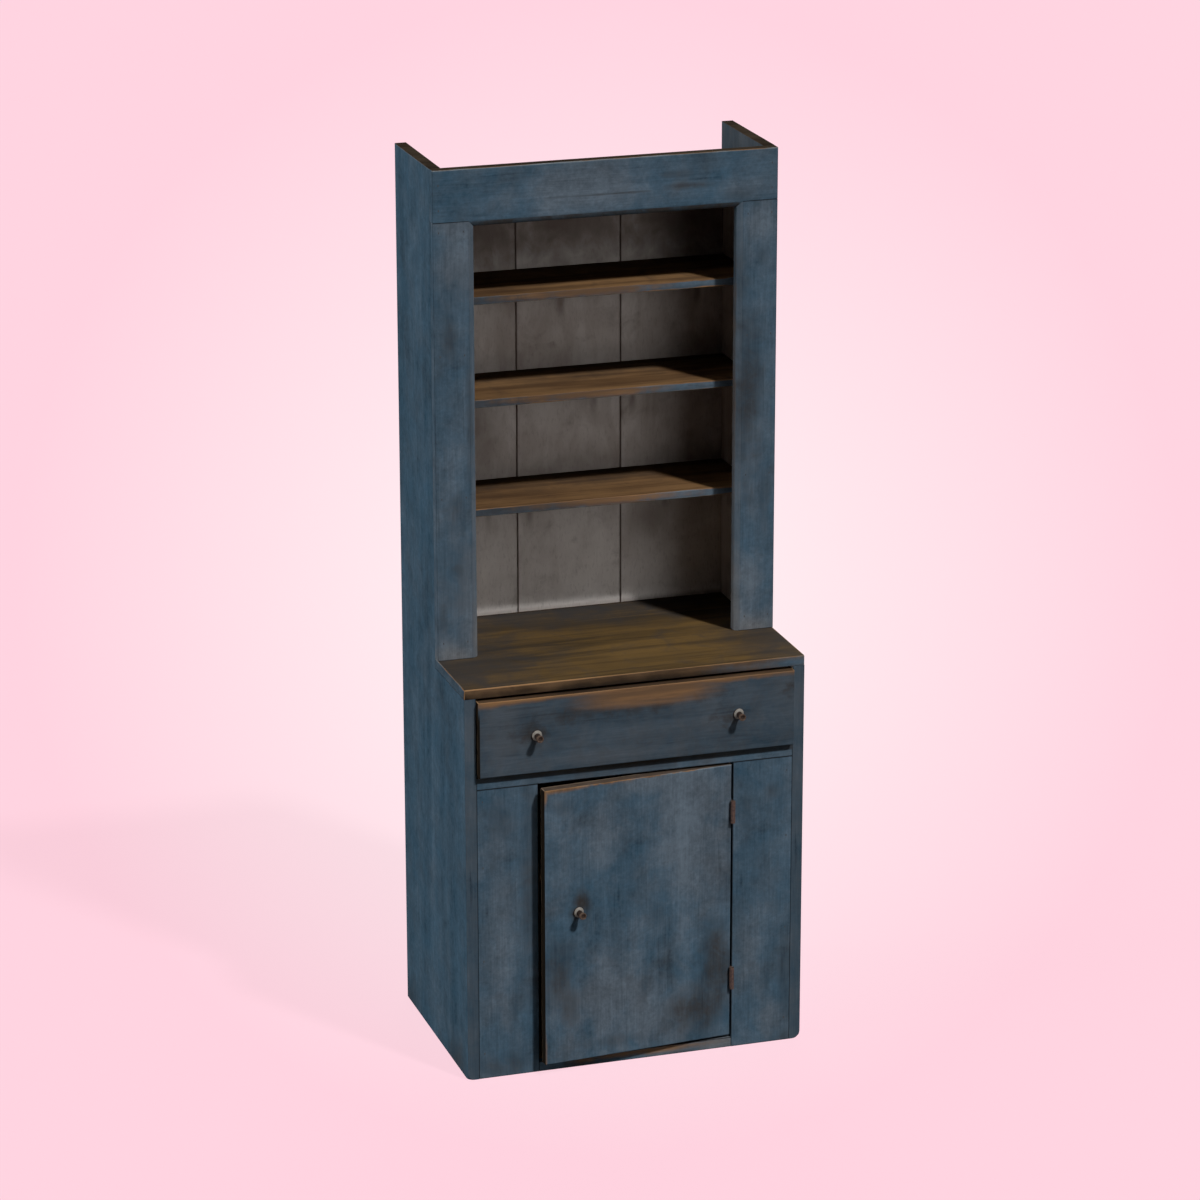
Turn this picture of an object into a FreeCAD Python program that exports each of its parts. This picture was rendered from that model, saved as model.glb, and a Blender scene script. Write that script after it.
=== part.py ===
import FreeCAD, Part
import math
import os

# A step back cupboard in painted pine: a shallow open rack of shelves over a deeper
# base with one drawer and one door, built from boards that are housed, lapped and
# dovetailed together.  Millimetres; X runs across, the front faces -Y, Z is up.
# The origin is on the floor, in the middle of the base.

Vector = FreeCAD.Vector

# ---------------------------------------------------------------- overall sizes
HEIGHT = 1828.8
WIDTH = 710.0
LOWER_DEPTH = 459.0
UPPER_DEPTH = 272.0
COUNTER_HEIGHT = 831.0

# ---------------------------------------------------------------- board stock
SIDE_THICK = 23.0
FACE_THICK = 22.0
COUNTER_THICK = 20.6
BOTTOM_THICK = 20.6
SHELF_THICK = 16.0
BACK_THICK = 12.7
HOUSING_DEPTH = 8.0
RABBET_DEPTH = 10.0

# ---------------------------------------------------------------- upper case
FRIEZE_WIDE = 115.8
UPPER_STILE_WIDE = 84.0
CHAMFER_WIDE = 12.0
CHAMFER_DEEP = 7.0
TOP_BOARD_RAISE = 5.0
SHELF_DEPTH = 202.0
BAY_PARTS = (275.0, 209.0, 194.0, 161.0)

# ---------------------------------------------------------------- back
BACK_BOARDS = ("left", "middle", "right")
BACK_SEAM_GAP = 2.0
BACK_LAP = 10.0

# ---------------------------------------------------------------- base
LOWER_STILE_WIDE = 127.0
RAIL_WIDE = 26.0
DRAWER_OPENING = 165.0
BASE_SHELF_UP = 300.0
BASE_SHELF_SETBACK = 60.0
COUNTER_ROUND = 3.0
FOOT_WEAR_LEFT = 15.0
FOOT_WEAR_RIGHT = 19.0

# ---------------------------------------------------------------- drawer
DRAWER_PULLED_OUT = 12.0
DRAWER_SIDE_GAP = 2.0
DRAWER_TOP_GAP = 5.7
DRAWER_BOTTOM_GAP = 2.2
DRAWER_FRONT_THICK = 22.0
DRAWER_SIDE_THICK = 12.7
DRAWER_BACK_THICK = 12.7
DRAWER_ROUND = 2.0
DOVETAIL_COUNT = 3
DOVETAIL_SLOPE = 1.0 / 6.0
DOVETAIL_BLIND = 7.0
PIN_TIP = 8.0
GROOVE_UP = 10.0
GROOVE_WIDE = 6.0
GROOVE_DEEP = 6.0
DRAWER_BOTTOM_THICK = 10.0
DRAWER_BOTTOM_BEVEL = 45.0
RUNNER_WIDE = 22.0
RUNNER_HIGH = 26.0
RUNNER_CLEARANCE = 0.3
STOP_LONG = 26.0
STOP_HIGH = 20.0
STOP_WIDE = 12.7
STOP_CLEARANCE = 0.3

# ---------------------------------------------------------------- door
DOOR_AJAR_DEG = 4.7
DOOR_THICK = 20.6
DOOR_SIDE_GAP = 2.5
DOOR_TOP_GAP = 4.5
DOOR_BOTTOM_GAP = 6.0
DOOR_ROUND = 2.5
BATTEN_WIDE = 70.0
BATTEN_THICK = 16.0
BATTEN_FROM_END = 70.0
BATTEN_INSET = 30.0
DOOR_STOP_WIDE = 30.0
DOOR_STOP_THICK = 12.0
DOOR_STOP_LAP = 8.0
DOOR_STOP_LONG = 240.0

# ---------------------------------------------------------------- turned knobs
KNOB_PROJECTION = 27.0
KNOB_ROSE_RADIUS = 11.5
KNOB_ROSE_THICK = 4.0
KNOB_COVE_RADIUS = 8.6
KNOB_NECK_RADIUS = 4.4
KNOB_NECK_START = 11.0
KNOB_NECK_LONG = 3.0
KNOB_HEAD_RADIUS = 7.8
KNOB_HEAD_THICK = 3.6
KNOB_HEAD_EASE = 1.2
KNOB_STEPS = 2
KNOB_TENON_RADIUS = 5.0
KNOB_TENON_CLEARANCE = 0.05
DRAWER_KNOB_SPREAD = 422.0
DOOR_KNOB_FROM_EDGE = 71.5
DOOR_KNOB_UP = 321.0

# ---------------------------------------------------------------- butt hinges
HINGE_LONG = 47.0
HINGE_RADIUS = 4.75
HINGE_PROUD = 0.3
HINGE_FROM_TOP = 100.0
HINGE_FROM_BOTTOM = 127.0
HINGE_KNUCKLES = 3
KNUCKLE_GAP = 0.2
LEAF_THICK = 1.6
LEAF_DEEP = 18.0
LEAF_SINK = 0.6
LEAF_CLEARANCE = 0.3
PIN_RADIUS = 2.2
PIN_CLEARANCE = 0.05

# ---------------------------------------------------------------- derived places
BACK = LOWER_DEPTH / 2
FRONT = -LOWER_DEPTH / 2
BACK_FACE = BACK - BACK_THICK
UPPER_FRONT = BACK - UPPER_DEPTH
UPPER_FACE_BACK = UPPER_FRONT + FACE_THICK
LOWER_FACE_BACK = FRONT + FACE_THICK
HALF = WIDTH / 2
INNER = HALF - SIDE_THICK
HOUSED = INNER + HOUSING_DEPTH

COUNTER_BOTTOM = COUNTER_HEIGHT - COUNTER_THICK
UPPER_OPENING = HALF - UPPER_STILE_WIDE
UPPER_OPENING_TOP = HEIGHT - FRIEZE_WIDE
FRIEZE_JOINT = UPPER_OPENING_TOP + CHAMFER_WIDE
TOP_BOARD_BOTTOM = UPPER_OPENING_TOP + TOP_BOARD_RAISE
TOP_BOARD_TOP = TOP_BOARD_BOTTOM + SHELF_THICK
SHELF_FRONT = BACK_FACE - SHELF_DEPTH
BAY_UNIT = (TOP_BOARD_BOTTOM - COUNTER_HEIGHT - (len(BAY_PARTS) - 1) * SHELF_THICK) / sum(BAY_PARTS)
SHELF_LOWER = COUNTER_HEIGHT + BAY_PARTS[0] * BAY_UNIT
SHELF_MIDDLE = SHELF_LOWER + SHELF_THICK + BAY_PARTS[1] * BAY_UNIT
SHELF_UPPER = SHELF_MIDDLE + SHELF_THICK + BAY_PARTS[2] * BAY_UNIT

RAIL_TOP = COUNTER_BOTTOM - DRAWER_OPENING
RAIL_BOTTOM = RAIL_TOP - RAIL_WIDE
DOOR_OPENING = INNER - LOWER_STILE_WIDE
BASE_SHELF_BOTTOM = BOTTOM_THICK + BASE_SHELF_UP
BASE_SHELF_FRONT = FRONT + BASE_SHELF_SETBACK

DRAWER_HALF = INNER - DRAWER_SIDE_GAP
DRAWER_INNER = DRAWER_HALF - DRAWER_SIDE_THICK
DRAWER_LOW = RAIL_TOP + DRAWER_BOTTOM_GAP
DRAWER_HIGH = COUNTER_BOTTOM - DRAWER_TOP_GAP
DRAWER_REAR = BACK_FACE - STOP_LONG - STOP_CLEARANCE
DRAWER_FRONT_BACK = FRONT + DRAWER_FRONT_THICK
DRAWER_BACK_FACE = DRAWER_REAR - DRAWER_BACK_THICK
TAIL_TIP = FRONT + DOVETAIL_BLIND
GROOVE_LOW = DRAWER_LOW + GROOVE_UP
GROOVE_HIGH = GROOVE_LOW + GROOVE_WIDE
RUNNER_TOP = DRAWER_LOW - RUNNER_CLEARANCE

DOOR_HALF = DOOR_OPENING - DOOR_SIDE_GAP
DOOR_LOW = BOTTOM_THICK + DOOR_BOTTOM_GAP
DOOR_HIGH = RAIL_BOTTOM - DOOR_TOP_GAP
DOOR_BACK = FRONT + DOOR_THICK
HINGE_X = DOOR_OPENING - DOOR_SIDE_GAP / 2
HINGE_Y = FRONT - HINGE_RADIUS - HINGE_PROUD
HINGE_HEIGHTS = {
    "lower": DOOR_LOW + HINGE_FROM_BOTTOM,
    "upper": DOOR_HIGH - HINGE_FROM_TOP,
}

nodes = {}


# ---------------------------------------------------------------- shape helpers
def block(x0, x1, y0, y1, z0, z1):
    """A rectangular block between two corners, given in either order along X."""
    low = Vector(min(x0, x1), y0, z0)
    return Part.makeBox(abs(x1 - x0), y1 - y0, z1 - z0, low)


def prism(corners, travel):
    """A flat outline swept straight along a vector."""
    return Part.Face(Part.makePolygon(corners + corners[:1])).extrude(travel)


def prism_x(outline, x0, x1):
    """An outline of (y, z) points swept from x0 to x1."""
    return prism([Vector(x0, y, z) for y, z in outline], Vector(x1 - x0, 0, 0))


def prism_y(outline, y0, y1):
    """An outline of (x, z) points swept from y0 to y1."""
    return prism([Vector(x, y0, z) for x, z in outline], Vector(0, y1 - y0, 0))


def prism_z(outline, z0, z1):
    """An outline of (x, y) points swept from z0 to z1."""
    return prism([Vector(x, y, z0) for x, y in outline], Vector(0, 0, z1 - z0))


def mirrored(shape):
    """The same piece on the other side of the cupboard's middle."""
    return shape.mirror(Vector(0, 0, 0), Vector(1, 0, 0))


def lies_on(edge, axis, place):
    """Whether both ends of an edge lie in the plane axis = place."""
    return all(abs(getattr(v.Point, axis) - place) < 1e-6 for v in edge.Vertexes)


def rounded_face(board, y, radius):
    """A board whose arrises around the face in the plane Y = y are rounded."""
    return board.makeFillet(radius, [edge for edge in board.Edges if lies_on(edge, "y", y)])


# ---------------------------------------------------------------- side boards
def housings():
    """Each board that is let into the sides: (front, back, underside, top)."""
    found = [
        (LOWER_FACE_BACK, BACK_FACE, 0.0, BOTTOM_THICK),
        (BASE_SHELF_FRONT, BACK_FACE, BASE_SHELF_BOTTOM, BASE_SHELF_BOTTOM + SHELF_THICK),
        (UPPER_FACE_BACK, BACK_FACE, COUNTER_BOTTOM, COUNTER_HEIGHT),
        (UPPER_FACE_BACK, BACK_FACE, TOP_BOARD_BOTTOM, TOP_BOARD_TOP),
    ]
    for underside in (SHELF_LOWER, SHELF_MIDDLE, SHELF_UPPER):
        found.append((SHELF_FRONT, BACK_FACE, underside, underside + SHELF_THICK))
    return found


def worn_foot(radius):
    """What wear takes from the right side's front bottom corner: its three faces end round."""
    corner = Vector(HALF - radius, FRONT, 0)
    ball = Part.makeSphere(radius * math.sqrt(2), Vector(HALF - radius, FRONT + radius, radius))
    return Part.makeBox(radius, radius, radius, corner).cut(ball)


def side_board(foot_wear):
    """The right side: one board from floor to top, stepped back above the counter."""
    outline = [
        (BACK, 0.0),
        (FRONT, 0.0),
        (FRONT, COUNTER_BOTTOM),
        (UPPER_FACE_BACK, COUNTER_BOTTOM),
        (UPPER_FACE_BACK, HEIGHT),
        (BACK, HEIGHT),
    ]
    board = prism_x(outline, INNER, HALF)
    for y0, y1, z0, z1 in housings():
        board = board.cut(block(INNER, HOUSED, y0, y1, z0, z1))
    rabbet = block(INNER, INNER + RABBET_DEPTH, BACK_FACE, BACK, 0.0, TOP_BOARD_TOP)
    return board.cut(rabbet).cut(worn_foot(foot_wear))


def make_sides():
    nodes["side_right"] = side_board(FOOT_WEAR_RIGHT)
    nodes["side_left"] = mirrored(side_board(FOOT_WEAR_LEFT))


# ---------------------------------------------------------------- upper face frame
def make_upper_face():
    """The frieze and the two stiles, chamfered and mitred round the rack's opening."""
    mitre = UPPER_OPENING + CHAMFER_WIDE
    frieze_outline = [
        (-HALF, HEIGHT),
        (-HALF, FRIEZE_JOINT),
        (-mitre, FRIEZE_JOINT),
        (-UPPER_OPENING, UPPER_OPENING_TOP),
        (UPPER_OPENING, UPPER_OPENING_TOP),
        (mitre, FRIEZE_JOINT),
        (HALF, FRIEZE_JOINT),
        (HALF, HEIGHT),
    ]
    frieze_chamfer = [
        (UPPER_FRONT, FRIEZE_JOINT),
        (UPPER_FRONT, UPPER_OPENING_TOP),
        (UPPER_FRONT + CHAMFER_DEEP, UPPER_OPENING_TOP),
    ]
    frieze = prism_y(frieze_outline, UPPER_FRONT, UPPER_FACE_BACK)
    nodes["frieze_board"] = frieze.cut(prism_x(frieze_chamfer, -mitre, mitre))

    stile_outline = [
        (UPPER_OPENING, COUNTER_HEIGHT),
        (HALF, COUNTER_HEIGHT),
        (HALF, FRIEZE_JOINT),
        (mitre, FRIEZE_JOINT),
        (UPPER_OPENING, UPPER_OPENING_TOP),
    ]
    stile_chamfer = [
        (mitre, UPPER_FRONT),
        (UPPER_OPENING, UPPER_FRONT),
        (UPPER_OPENING, UPPER_FRONT + CHAMFER_DEEP),
    ]
    stile = prism_y(stile_outline, UPPER_FRONT, UPPER_FACE_BACK)
    stile = stile.cut(prism_z(stile_chamfer, COUNTER_HEIGHT, FRIEZE_JOINT))
    nodes["upper_stile_right"] = stile
    nodes["upper_stile_left"] = mirrored(stile)


# ---------------------------------------------------------------- shelves and top
def make_shelves():
    shelves = {"shelf_lower": SHELF_LOWER, "shelf_middle": SHELF_MIDDLE, "shelf_upper": SHELF_UPPER}
    for name, underside in shelves.items():
        top = underside + SHELF_THICK
        nodes[name] = block(-HOUSED, HOUSED, SHELF_FRONT, BACK_FACE, underside, top)
    nodes["top_board"] = block(
        -HOUSED, HOUSED, UPPER_FACE_BACK, BACK_FACE, TOP_BOARD_BOTTOM, TOP_BOARD_TOP)
    nodes["base_shelf"] = block(
        -HOUSED, HOUSED, BASE_SHELF_FRONT, BACK_FACE,
        BASE_SHELF_BOTTOM, BASE_SHELF_BOTTOM + SHELF_THICK)


def make_counter():
    """The counter: full width over the base's sides, notched to pass between them behind."""
    outline = [
        (-HALF, FRONT),
        (HALF, FRONT),
        (HALF, UPPER_FACE_BACK),
        (HOUSED, UPPER_FACE_BACK),
        (HOUSED, BACK_FACE),
        (-HOUSED, BACK_FACE),
        (-HOUSED, UPPER_FACE_BACK),
        (-HALF, UPPER_FACE_BACK),
    ]
    board = prism_z(outline, COUNTER_BOTTOM, COUNTER_HEIGHT)
    front_top = [e for e in board.Edges if lies_on(e, "y", FRONT) and lies_on(e, "z", COUNTER_HEIGHT)]
    nodes["counter_board"] = board.makeFillet(COUNTER_ROUND, front_top)


# ---------------------------------------------------------------- back boards
def make_back():
    """Upright boards let into the sides, each lapping behind the next with a narrow seam."""
    reach = INNER + RABBET_DEPTH
    lap_face = BACK_FACE + BACK_THICK / 2
    pitch = (2 * INNER + BACK_SEAM_GAP) / len(BACK_BOARDS)
    for index, place in enumerate(BACK_BOARDS):
        first = index == 0
        last = index == len(BACK_BOARDS) - 1
        left = -reach if first else -INNER + index * pitch
        right = reach if last else -INNER + (index + 1) * pitch - BACK_SEAM_GAP
        outline = [(left, BACK_FACE), (right, BACK_FACE)]
        if last:
            outline += [(right, BACK)]
        else:
            outline += [(right, lap_face), (right + BACK_LAP, lap_face), (right + BACK_LAP, BACK)]
        if first:
            outline += [(left, BACK)]
        else:
            outline += [(left + BACK_LAP, BACK), (left + BACK_LAP, lap_face), (left, lap_face)]
        nodes["back_board_" + place] = prism_z(outline, 0.0, TOP_BOARD_TOP)


# ---------------------------------------------------------------- base frame
def make_base():
    """Stiles, rail, bottom, the strips the drawer runs on and the strip the door shuts on."""
    stile = block(DOOR_OPENING, INNER, FRONT, LOWER_FACE_BACK, 0.0, RAIL_BOTTOM)
    nodes["lower_stile_left"] = mirrored(stile)
    for height in HINGE_HEIGHTS.values():
        z0 = height - HINGE_LONG / 2
        z1 = height + HINGE_LONG / 2
        stile = stile.cut(
            block(DOOR_OPENING, DOOR_OPENING + LEAF_SINK, FRONT, FRONT + LEAF_DEEP, z0, z1))
    nodes["lower_stile_right"] = stile
    nodes["drawer_rail"] = block(-INNER, INNER, FRONT, LOWER_FACE_BACK, RAIL_BOTTOM, RAIL_TOP)

    bottom_outline = [
        (-DOOR_OPENING, FRONT),
        (DOOR_OPENING, FRONT),
        (DOOR_OPENING, LOWER_FACE_BACK),
        (HOUSED, LOWER_FACE_BACK),
        (HOUSED, BACK_FACE),
        (-HOUSED, BACK_FACE),
        (-HOUSED, LOWER_FACE_BACK),
        (-DOOR_OPENING, LOWER_FACE_BACK),
    ]
    nodes["bottom_board"] = prism_z(bottom_outline, 0.0, BOTTOM_THICK)

    runner = block(
        INNER - RUNNER_WIDE, INNER, LOWER_FACE_BACK, BACK_FACE, RUNNER_TOP - RUNNER_HIGH, RUNNER_TOP)
    nodes["drawer_runner_right"] = runner
    nodes["drawer_runner_left"] = mirrored(runner)
    stop = block(
        INNER - STOP_WIDE, INNER, DRAWER_REAR + STOP_CLEARANCE, BACK_FACE,
        RUNNER_TOP, RUNNER_TOP + STOP_HIGH)
    nodes["drawer_stop_right"] = stop
    nodes["drawer_stop_left"] = mirrored(stop)

    stop_edge = -DOOR_OPENING + DOOR_STOP_LAP
    middle = (DOOR_LOW + DOOR_HIGH) / 2
    nodes["door_stop"] = block(
        stop_edge - DOOR_STOP_WIDE, stop_edge, LOWER_FACE_BACK, LOWER_FACE_BACK + DOOR_STOP_THICK,
        middle - DOOR_STOP_LONG / 2, middle + DOOR_STOP_LONG / 2)


# ---------------------------------------------------------------- turned knobs
def turned(outline):
    """A solid turned about the Y axis from an outline of (radius, y) points."""
    points = [Vector(radius, y, 0) for radius, y in outline]
    return Part.Face(Part.makePolygon(points + points[:1])).revolve(Vector(), Vector(0, 1, 0), 360)


def quarter_steps():
    """Sine and cosine of each step along a quarter turn."""
    turns = [math.radians(90 * step / KNOB_STEPS) for step in range(KNOB_STEPS + 1)]
    return [(math.sin(turn), math.cos(turn)) for turn in turns]


def turned_knob(x, face, z, wall):
    """A knob turned in one piece, its rose on a wall's face and its tenon through the wall."""
    brow = KNOB_PROJECTION - KNOB_HEAD_THICK
    neck_end = KNOB_NECK_START + KNOB_NECK_LONG
    outline = [
        (0, wall),
        (KNOB_TENON_RADIUS, wall),
        (KNOB_TENON_RADIUS, 0),
        (KNOB_ROSE_RADIUS, 0),
        (KNOB_ROSE_RADIUS, -KNOB_ROSE_THICK),
    ]
    for sine, cosine in quarter_steps():
        cove = KNOB_COVE_RADIUS - (KNOB_COVE_RADIUS - KNOB_NECK_RADIUS) * sine
        depth = KNOB_NECK_START - (KNOB_NECK_START - KNOB_ROSE_THICK) * cosine
        outline.append((cove, -depth))
    for sine, cosine in quarter_steps():
        flare = KNOB_HEAD_RADIUS - (KNOB_HEAD_RADIUS - KNOB_NECK_RADIUS) * cosine
        outline.append((flare, -neck_end - (brow - neck_end) * sine))
    outline += [
        (KNOB_HEAD_RADIUS, KNOB_HEAD_EASE - KNOB_PROJECTION),
        (KNOB_HEAD_RADIUS - KNOB_HEAD_EASE, -KNOB_PROJECTION),
        (0, -KNOB_PROJECTION),
    ]
    knob = turned(outline)
    knob.translate(Vector(x, face, z))
    return knob


def knob_hole(x, face, z, wall):
    radius = KNOB_TENON_RADIUS + KNOB_TENON_CLEARANCE
    return Part.makeCylinder(radius, wall, Vector(x, face, z), Vector(0, 1, 0))


# ---------------------------------------------------------------- drawer
def tails(root, tip, low, high):
    """The edge of a board cut into dovetails that widen from root to tip, going up."""
    pitch = (high - low) / DOVETAIL_COUNT
    wide = (pitch - PIN_TIP) / 2
    narrow = wide - DOVETAIL_SLOPE * abs(tip - root)
    points = []
    for index in range(DOVETAIL_COUNT):
        centre = low + (index + 0.5) * pitch
        points += [
            (root, centre - narrow),
            (tip, centre - wide),
            (tip, centre + wide),
            (root, centre + narrow),
        ]
    return points


def drawer_side_blank():
    """The right side with tails for the front's blind sockets and the back's through pins."""
    outline = [(DRAWER_FRONT_BACK, DRAWER_LOW)]
    outline += tails(DRAWER_FRONT_BACK, TAIL_TIP, DRAWER_LOW, DRAWER_HIGH)
    outline += [(DRAWER_FRONT_BACK, DRAWER_HIGH), (DRAWER_BACK_FACE, DRAWER_HIGH)]
    outline += tails(DRAWER_BACK_FACE, DRAWER_REAR, GROOVE_HIGH, DRAWER_HIGH)[::-1]
    outline += [
        (DRAWER_BACK_FACE, GROOVE_HIGH),
        (DRAWER_REAR, GROOVE_HIGH),
        (DRAWER_REAR, DRAWER_LOW),
    ]
    return prism_x(outline, DRAWER_INNER, DRAWER_HALF)


def drawer_bottom():
    """A panel whose underside is bevelled to fit the grooves in the sides and the front."""
    edge = DRAWER_INNER + GROOVE_DEEP
    front_edge = DRAWER_FRONT_BACK - GROOVE_DEEP
    under = GROOVE_HIGH - DRAWER_BOTTOM_THICK
    outline = [
        (-edge, GROOVE_HIGH),
        (-edge, GROOVE_LOW),
        (-DRAWER_INNER, GROOVE_LOW),
        (-DRAWER_INNER + DRAWER_BOTTOM_BEVEL, under),
        (DRAWER_INNER - DRAWER_BOTTOM_BEVEL, under),
        (DRAWER_INNER, GROOVE_LOW),
        (edge, GROOVE_LOW),
        (edge, GROOVE_HIGH),
    ]
    front_bevel = [
        (front_edge, under),
        (DRAWER_FRONT_BACK + DRAWER_BOTTOM_BEVEL, under),
        (DRAWER_FRONT_BACK, GROOVE_LOW),
        (front_edge, GROOVE_LOW),
    ]
    panel = prism_y(outline, front_edge, DRAWER_REAR)
    return panel.cut(prism_x(front_bevel, -edge, edge))


def make_drawer():
    """The drawer, built shut and then drawn forward to where it stands."""
    blank = drawer_side_blank()
    both_sides = [blank, mirrored(blank)]
    groove = block(
        DRAWER_INNER, DRAWER_INNER + GROOVE_DEEP, TAIL_TIP, DRAWER_REAR, GROOVE_LOW, GROOVE_HIGH)
    side = blank.cut(groove)
    knob_z = (DRAWER_LOW + DRAWER_HIGH) / 2

    front = block(-DRAWER_HALF, DRAWER_HALF, FRONT, DRAWER_FRONT_BACK, DRAWER_LOW, DRAWER_HIGH)
    front = rounded_face(front, FRONT, DRAWER_ROUND).cut(both_sides)
    front = front.cut(block(
        -DRAWER_INNER, DRAWER_INNER, DRAWER_FRONT_BACK - GROOVE_DEEP, DRAWER_FRONT_BACK,
        GROOVE_LOW, GROOVE_HIGH))
    back = block(-DRAWER_HALF, DRAWER_HALF, DRAWER_BACK_FACE, DRAWER_REAR, GROOVE_HIGH, DRAWER_HIGH)

    drawer = {
        "drawer_side_right": side,
        "drawer_side_left": mirrored(side),
        "drawer_back": back.cut(both_sides),
        "drawer_bottom": drawer_bottom(),
    }
    for name, x in (("left", -DRAWER_KNOB_SPREAD / 2), ("right", DRAWER_KNOB_SPREAD / 2)):
        drawer["drawer_knob_" + name] = turned_knob(x, FRONT, knob_z, DRAWER_FRONT_THICK)
        front = front.cut(knob_hole(x, FRONT, knob_z, DRAWER_FRONT_THICK))
    drawer["drawer_front"] = front
    for name, shape in drawer.items():
        shape.translate(Vector(0, -DRAWER_PULLED_OUT, 0))
        nodes[name] = shape


# ---------------------------------------------------------------- hinges
def leaf_span(side):
    """Where a leaf lies in X: side +1 is let into the stile, side -1 into the door."""
    bed = DOOR_OPENING + LEAF_SINK if side > 0 else DOOR_HALF - LEAF_SINK
    return bed - side * LEAF_THICK, bed


def knuckle_spans(height, side):
    """Heights of the knuckles that belong to one leaf; the stile's leaf has the end ones."""
    long = (HINGE_LONG - (HINGE_KNUCKLES - 1) * KNUCKLE_GAP) / HINGE_KNUCKLES
    first = 0 if side > 0 else 1
    spans = []
    for index in range(first, HINGE_KNUCKLES, 2):
        z0 = height - HINGE_LONG / 2 + index * (long + KNUCKLE_GAP)
        spans.append((z0, z0 + long))
    return spans


def hinge_cylinder(radius, z0, z1):
    return Part.makeCylinder(radius, z1 - z0, Vector(HINGE_X, HINGE_Y, z0))


def hinge_leaf(height, side):
    """One cast leaf: its plate, its own knuckles, and room for the other leaf's knuckles."""
    x0, x1 = leaf_span(side)
    z0 = height - HINGE_LONG / 2
    z1 = height + HINGE_LONG / 2
    leaf = block(x0, x1, HINGE_Y, FRONT + LEAF_DEEP, z0, z1)
    room = [hinge_cylinder(HINGE_RADIUS + LEAF_CLEARANCE, a - KNUCKLE_GAP, b + KNUCKLE_GAP)
            for a, b in knuckle_spans(height, -side)]
    own = [hinge_cylinder(HINGE_RADIUS, a, b) for a, b in knuckle_spans(height, side)]
    bore = hinge_cylinder(PIN_RADIUS + PIN_CLEARANCE, z0, z1)
    return leaf.cut(room).fuse(own).cut(bore).removeSplitter()


def make_hinges(door):
    """Two butt hinges, their pins riveted flush; the door's leaves join the door's own pieces."""
    for name, height in HINGE_HEIGHTS.items():
        nodes["hinge_" + name + "_case_leaf"] = hinge_leaf(height, +1)
        half = HINGE_LONG / 2
        nodes["hinge_" + name + "_pin"] = hinge_cylinder(PIN_RADIUS, height - half, height + half)
        door["hinge_" + name + "_door_leaf"] = hinge_leaf(height, -1)


# ---------------------------------------------------------------- door
def make_door():
    """The door, built shut and then swung on its hinges to where it stands."""
    board = block(-DOOR_HALF, DOOR_HALF, FRONT, DOOR_BACK, DOOR_LOW, DOOR_HIGH)
    board = rounded_face(board, FRONT, DOOR_ROUND)
    for height in HINGE_HEIGHTS.values():
        z0 = height - HINGE_LONG / 2
        z1 = height + HINGE_LONG / 2
        board = board.cut(block(DOOR_HALF - LEAF_SINK, DOOR_HALF, FRONT, FRONT + LEAF_DEEP, z0, z1))
    knob_x = -DOOR_HALF + DOOR_KNOB_FROM_EDGE
    knob_z = DOOR_LOW + DOOR_KNOB_UP
    board = board.cut(knob_hole(knob_x, FRONT, knob_z, DOOR_THICK))

    reach = DOOR_HALF - BATTEN_INSET
    door = {"door_board": board, "door_knob": turned_knob(knob_x, FRONT, knob_z, DOOR_THICK)}
    lows = {"lower": DOOR_LOW + BATTEN_FROM_END, "upper": DOOR_HIGH - BATTEN_FROM_END - BATTEN_WIDE}
    for name, low in lows.items():
        door["door_batten_" + name] = block(
            -reach, reach, DOOR_BACK, DOOR_BACK + BATTEN_THICK, low, low + BATTEN_WIDE)
    make_hinges(door)
    for name, shape in door.items():
        shape.rotate(Vector(HINGE_X, HINGE_Y, 0), Vector(0, 0, 1), DOOR_AJAR_DEG)
        nodes[name] = shape


def main():
    make_sides()
    make_upper_face()
    make_shelves()
    make_counter()
    make_back()
    make_base()
    make_drawer()
    make_door()
    os.makedirs("parts", exist_ok=True)
    for name, shape in nodes.items():
        if not shape.isValid():
            raise ValueError(name + " is not a valid solid")
        shape.exportStep("parts/" + name + ".step")
        print(name, len(shape.Solids), round(shape.Volume / 1000.0, 1))


main()
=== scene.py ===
"""Looks for a step back cupboard: worn blue paint, grained boards, turned knobs and iron hinges."""

import math

import bpy
from mathutils import Euler, Matrix, Vector


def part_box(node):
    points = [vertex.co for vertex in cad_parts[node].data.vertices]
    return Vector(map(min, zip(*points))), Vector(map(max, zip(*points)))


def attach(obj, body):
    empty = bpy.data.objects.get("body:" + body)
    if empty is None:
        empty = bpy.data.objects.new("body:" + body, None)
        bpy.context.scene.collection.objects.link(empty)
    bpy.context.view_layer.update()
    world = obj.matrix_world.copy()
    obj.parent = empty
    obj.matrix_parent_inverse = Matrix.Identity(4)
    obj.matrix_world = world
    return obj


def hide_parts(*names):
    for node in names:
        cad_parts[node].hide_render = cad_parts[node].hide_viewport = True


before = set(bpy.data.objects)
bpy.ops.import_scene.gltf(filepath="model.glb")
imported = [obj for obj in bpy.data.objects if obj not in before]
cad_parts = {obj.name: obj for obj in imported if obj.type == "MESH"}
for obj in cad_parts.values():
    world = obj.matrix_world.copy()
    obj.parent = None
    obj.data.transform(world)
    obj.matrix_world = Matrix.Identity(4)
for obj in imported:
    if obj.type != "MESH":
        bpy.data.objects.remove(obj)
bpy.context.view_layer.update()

bl_info = {
    "name": "Step Back Cupboard",
    "version": (1, 0, 0),
    "blender": (4, 5, 0),
    "location": "View3D > Sidebar > Cupboard",
    "description": "Dresses a step back cupboard in worn paint, bare wood and iron",
    "category": "Object",
}

MM = 0.001

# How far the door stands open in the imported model
DOOR_AJAR = math.radians(4.7)

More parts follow.
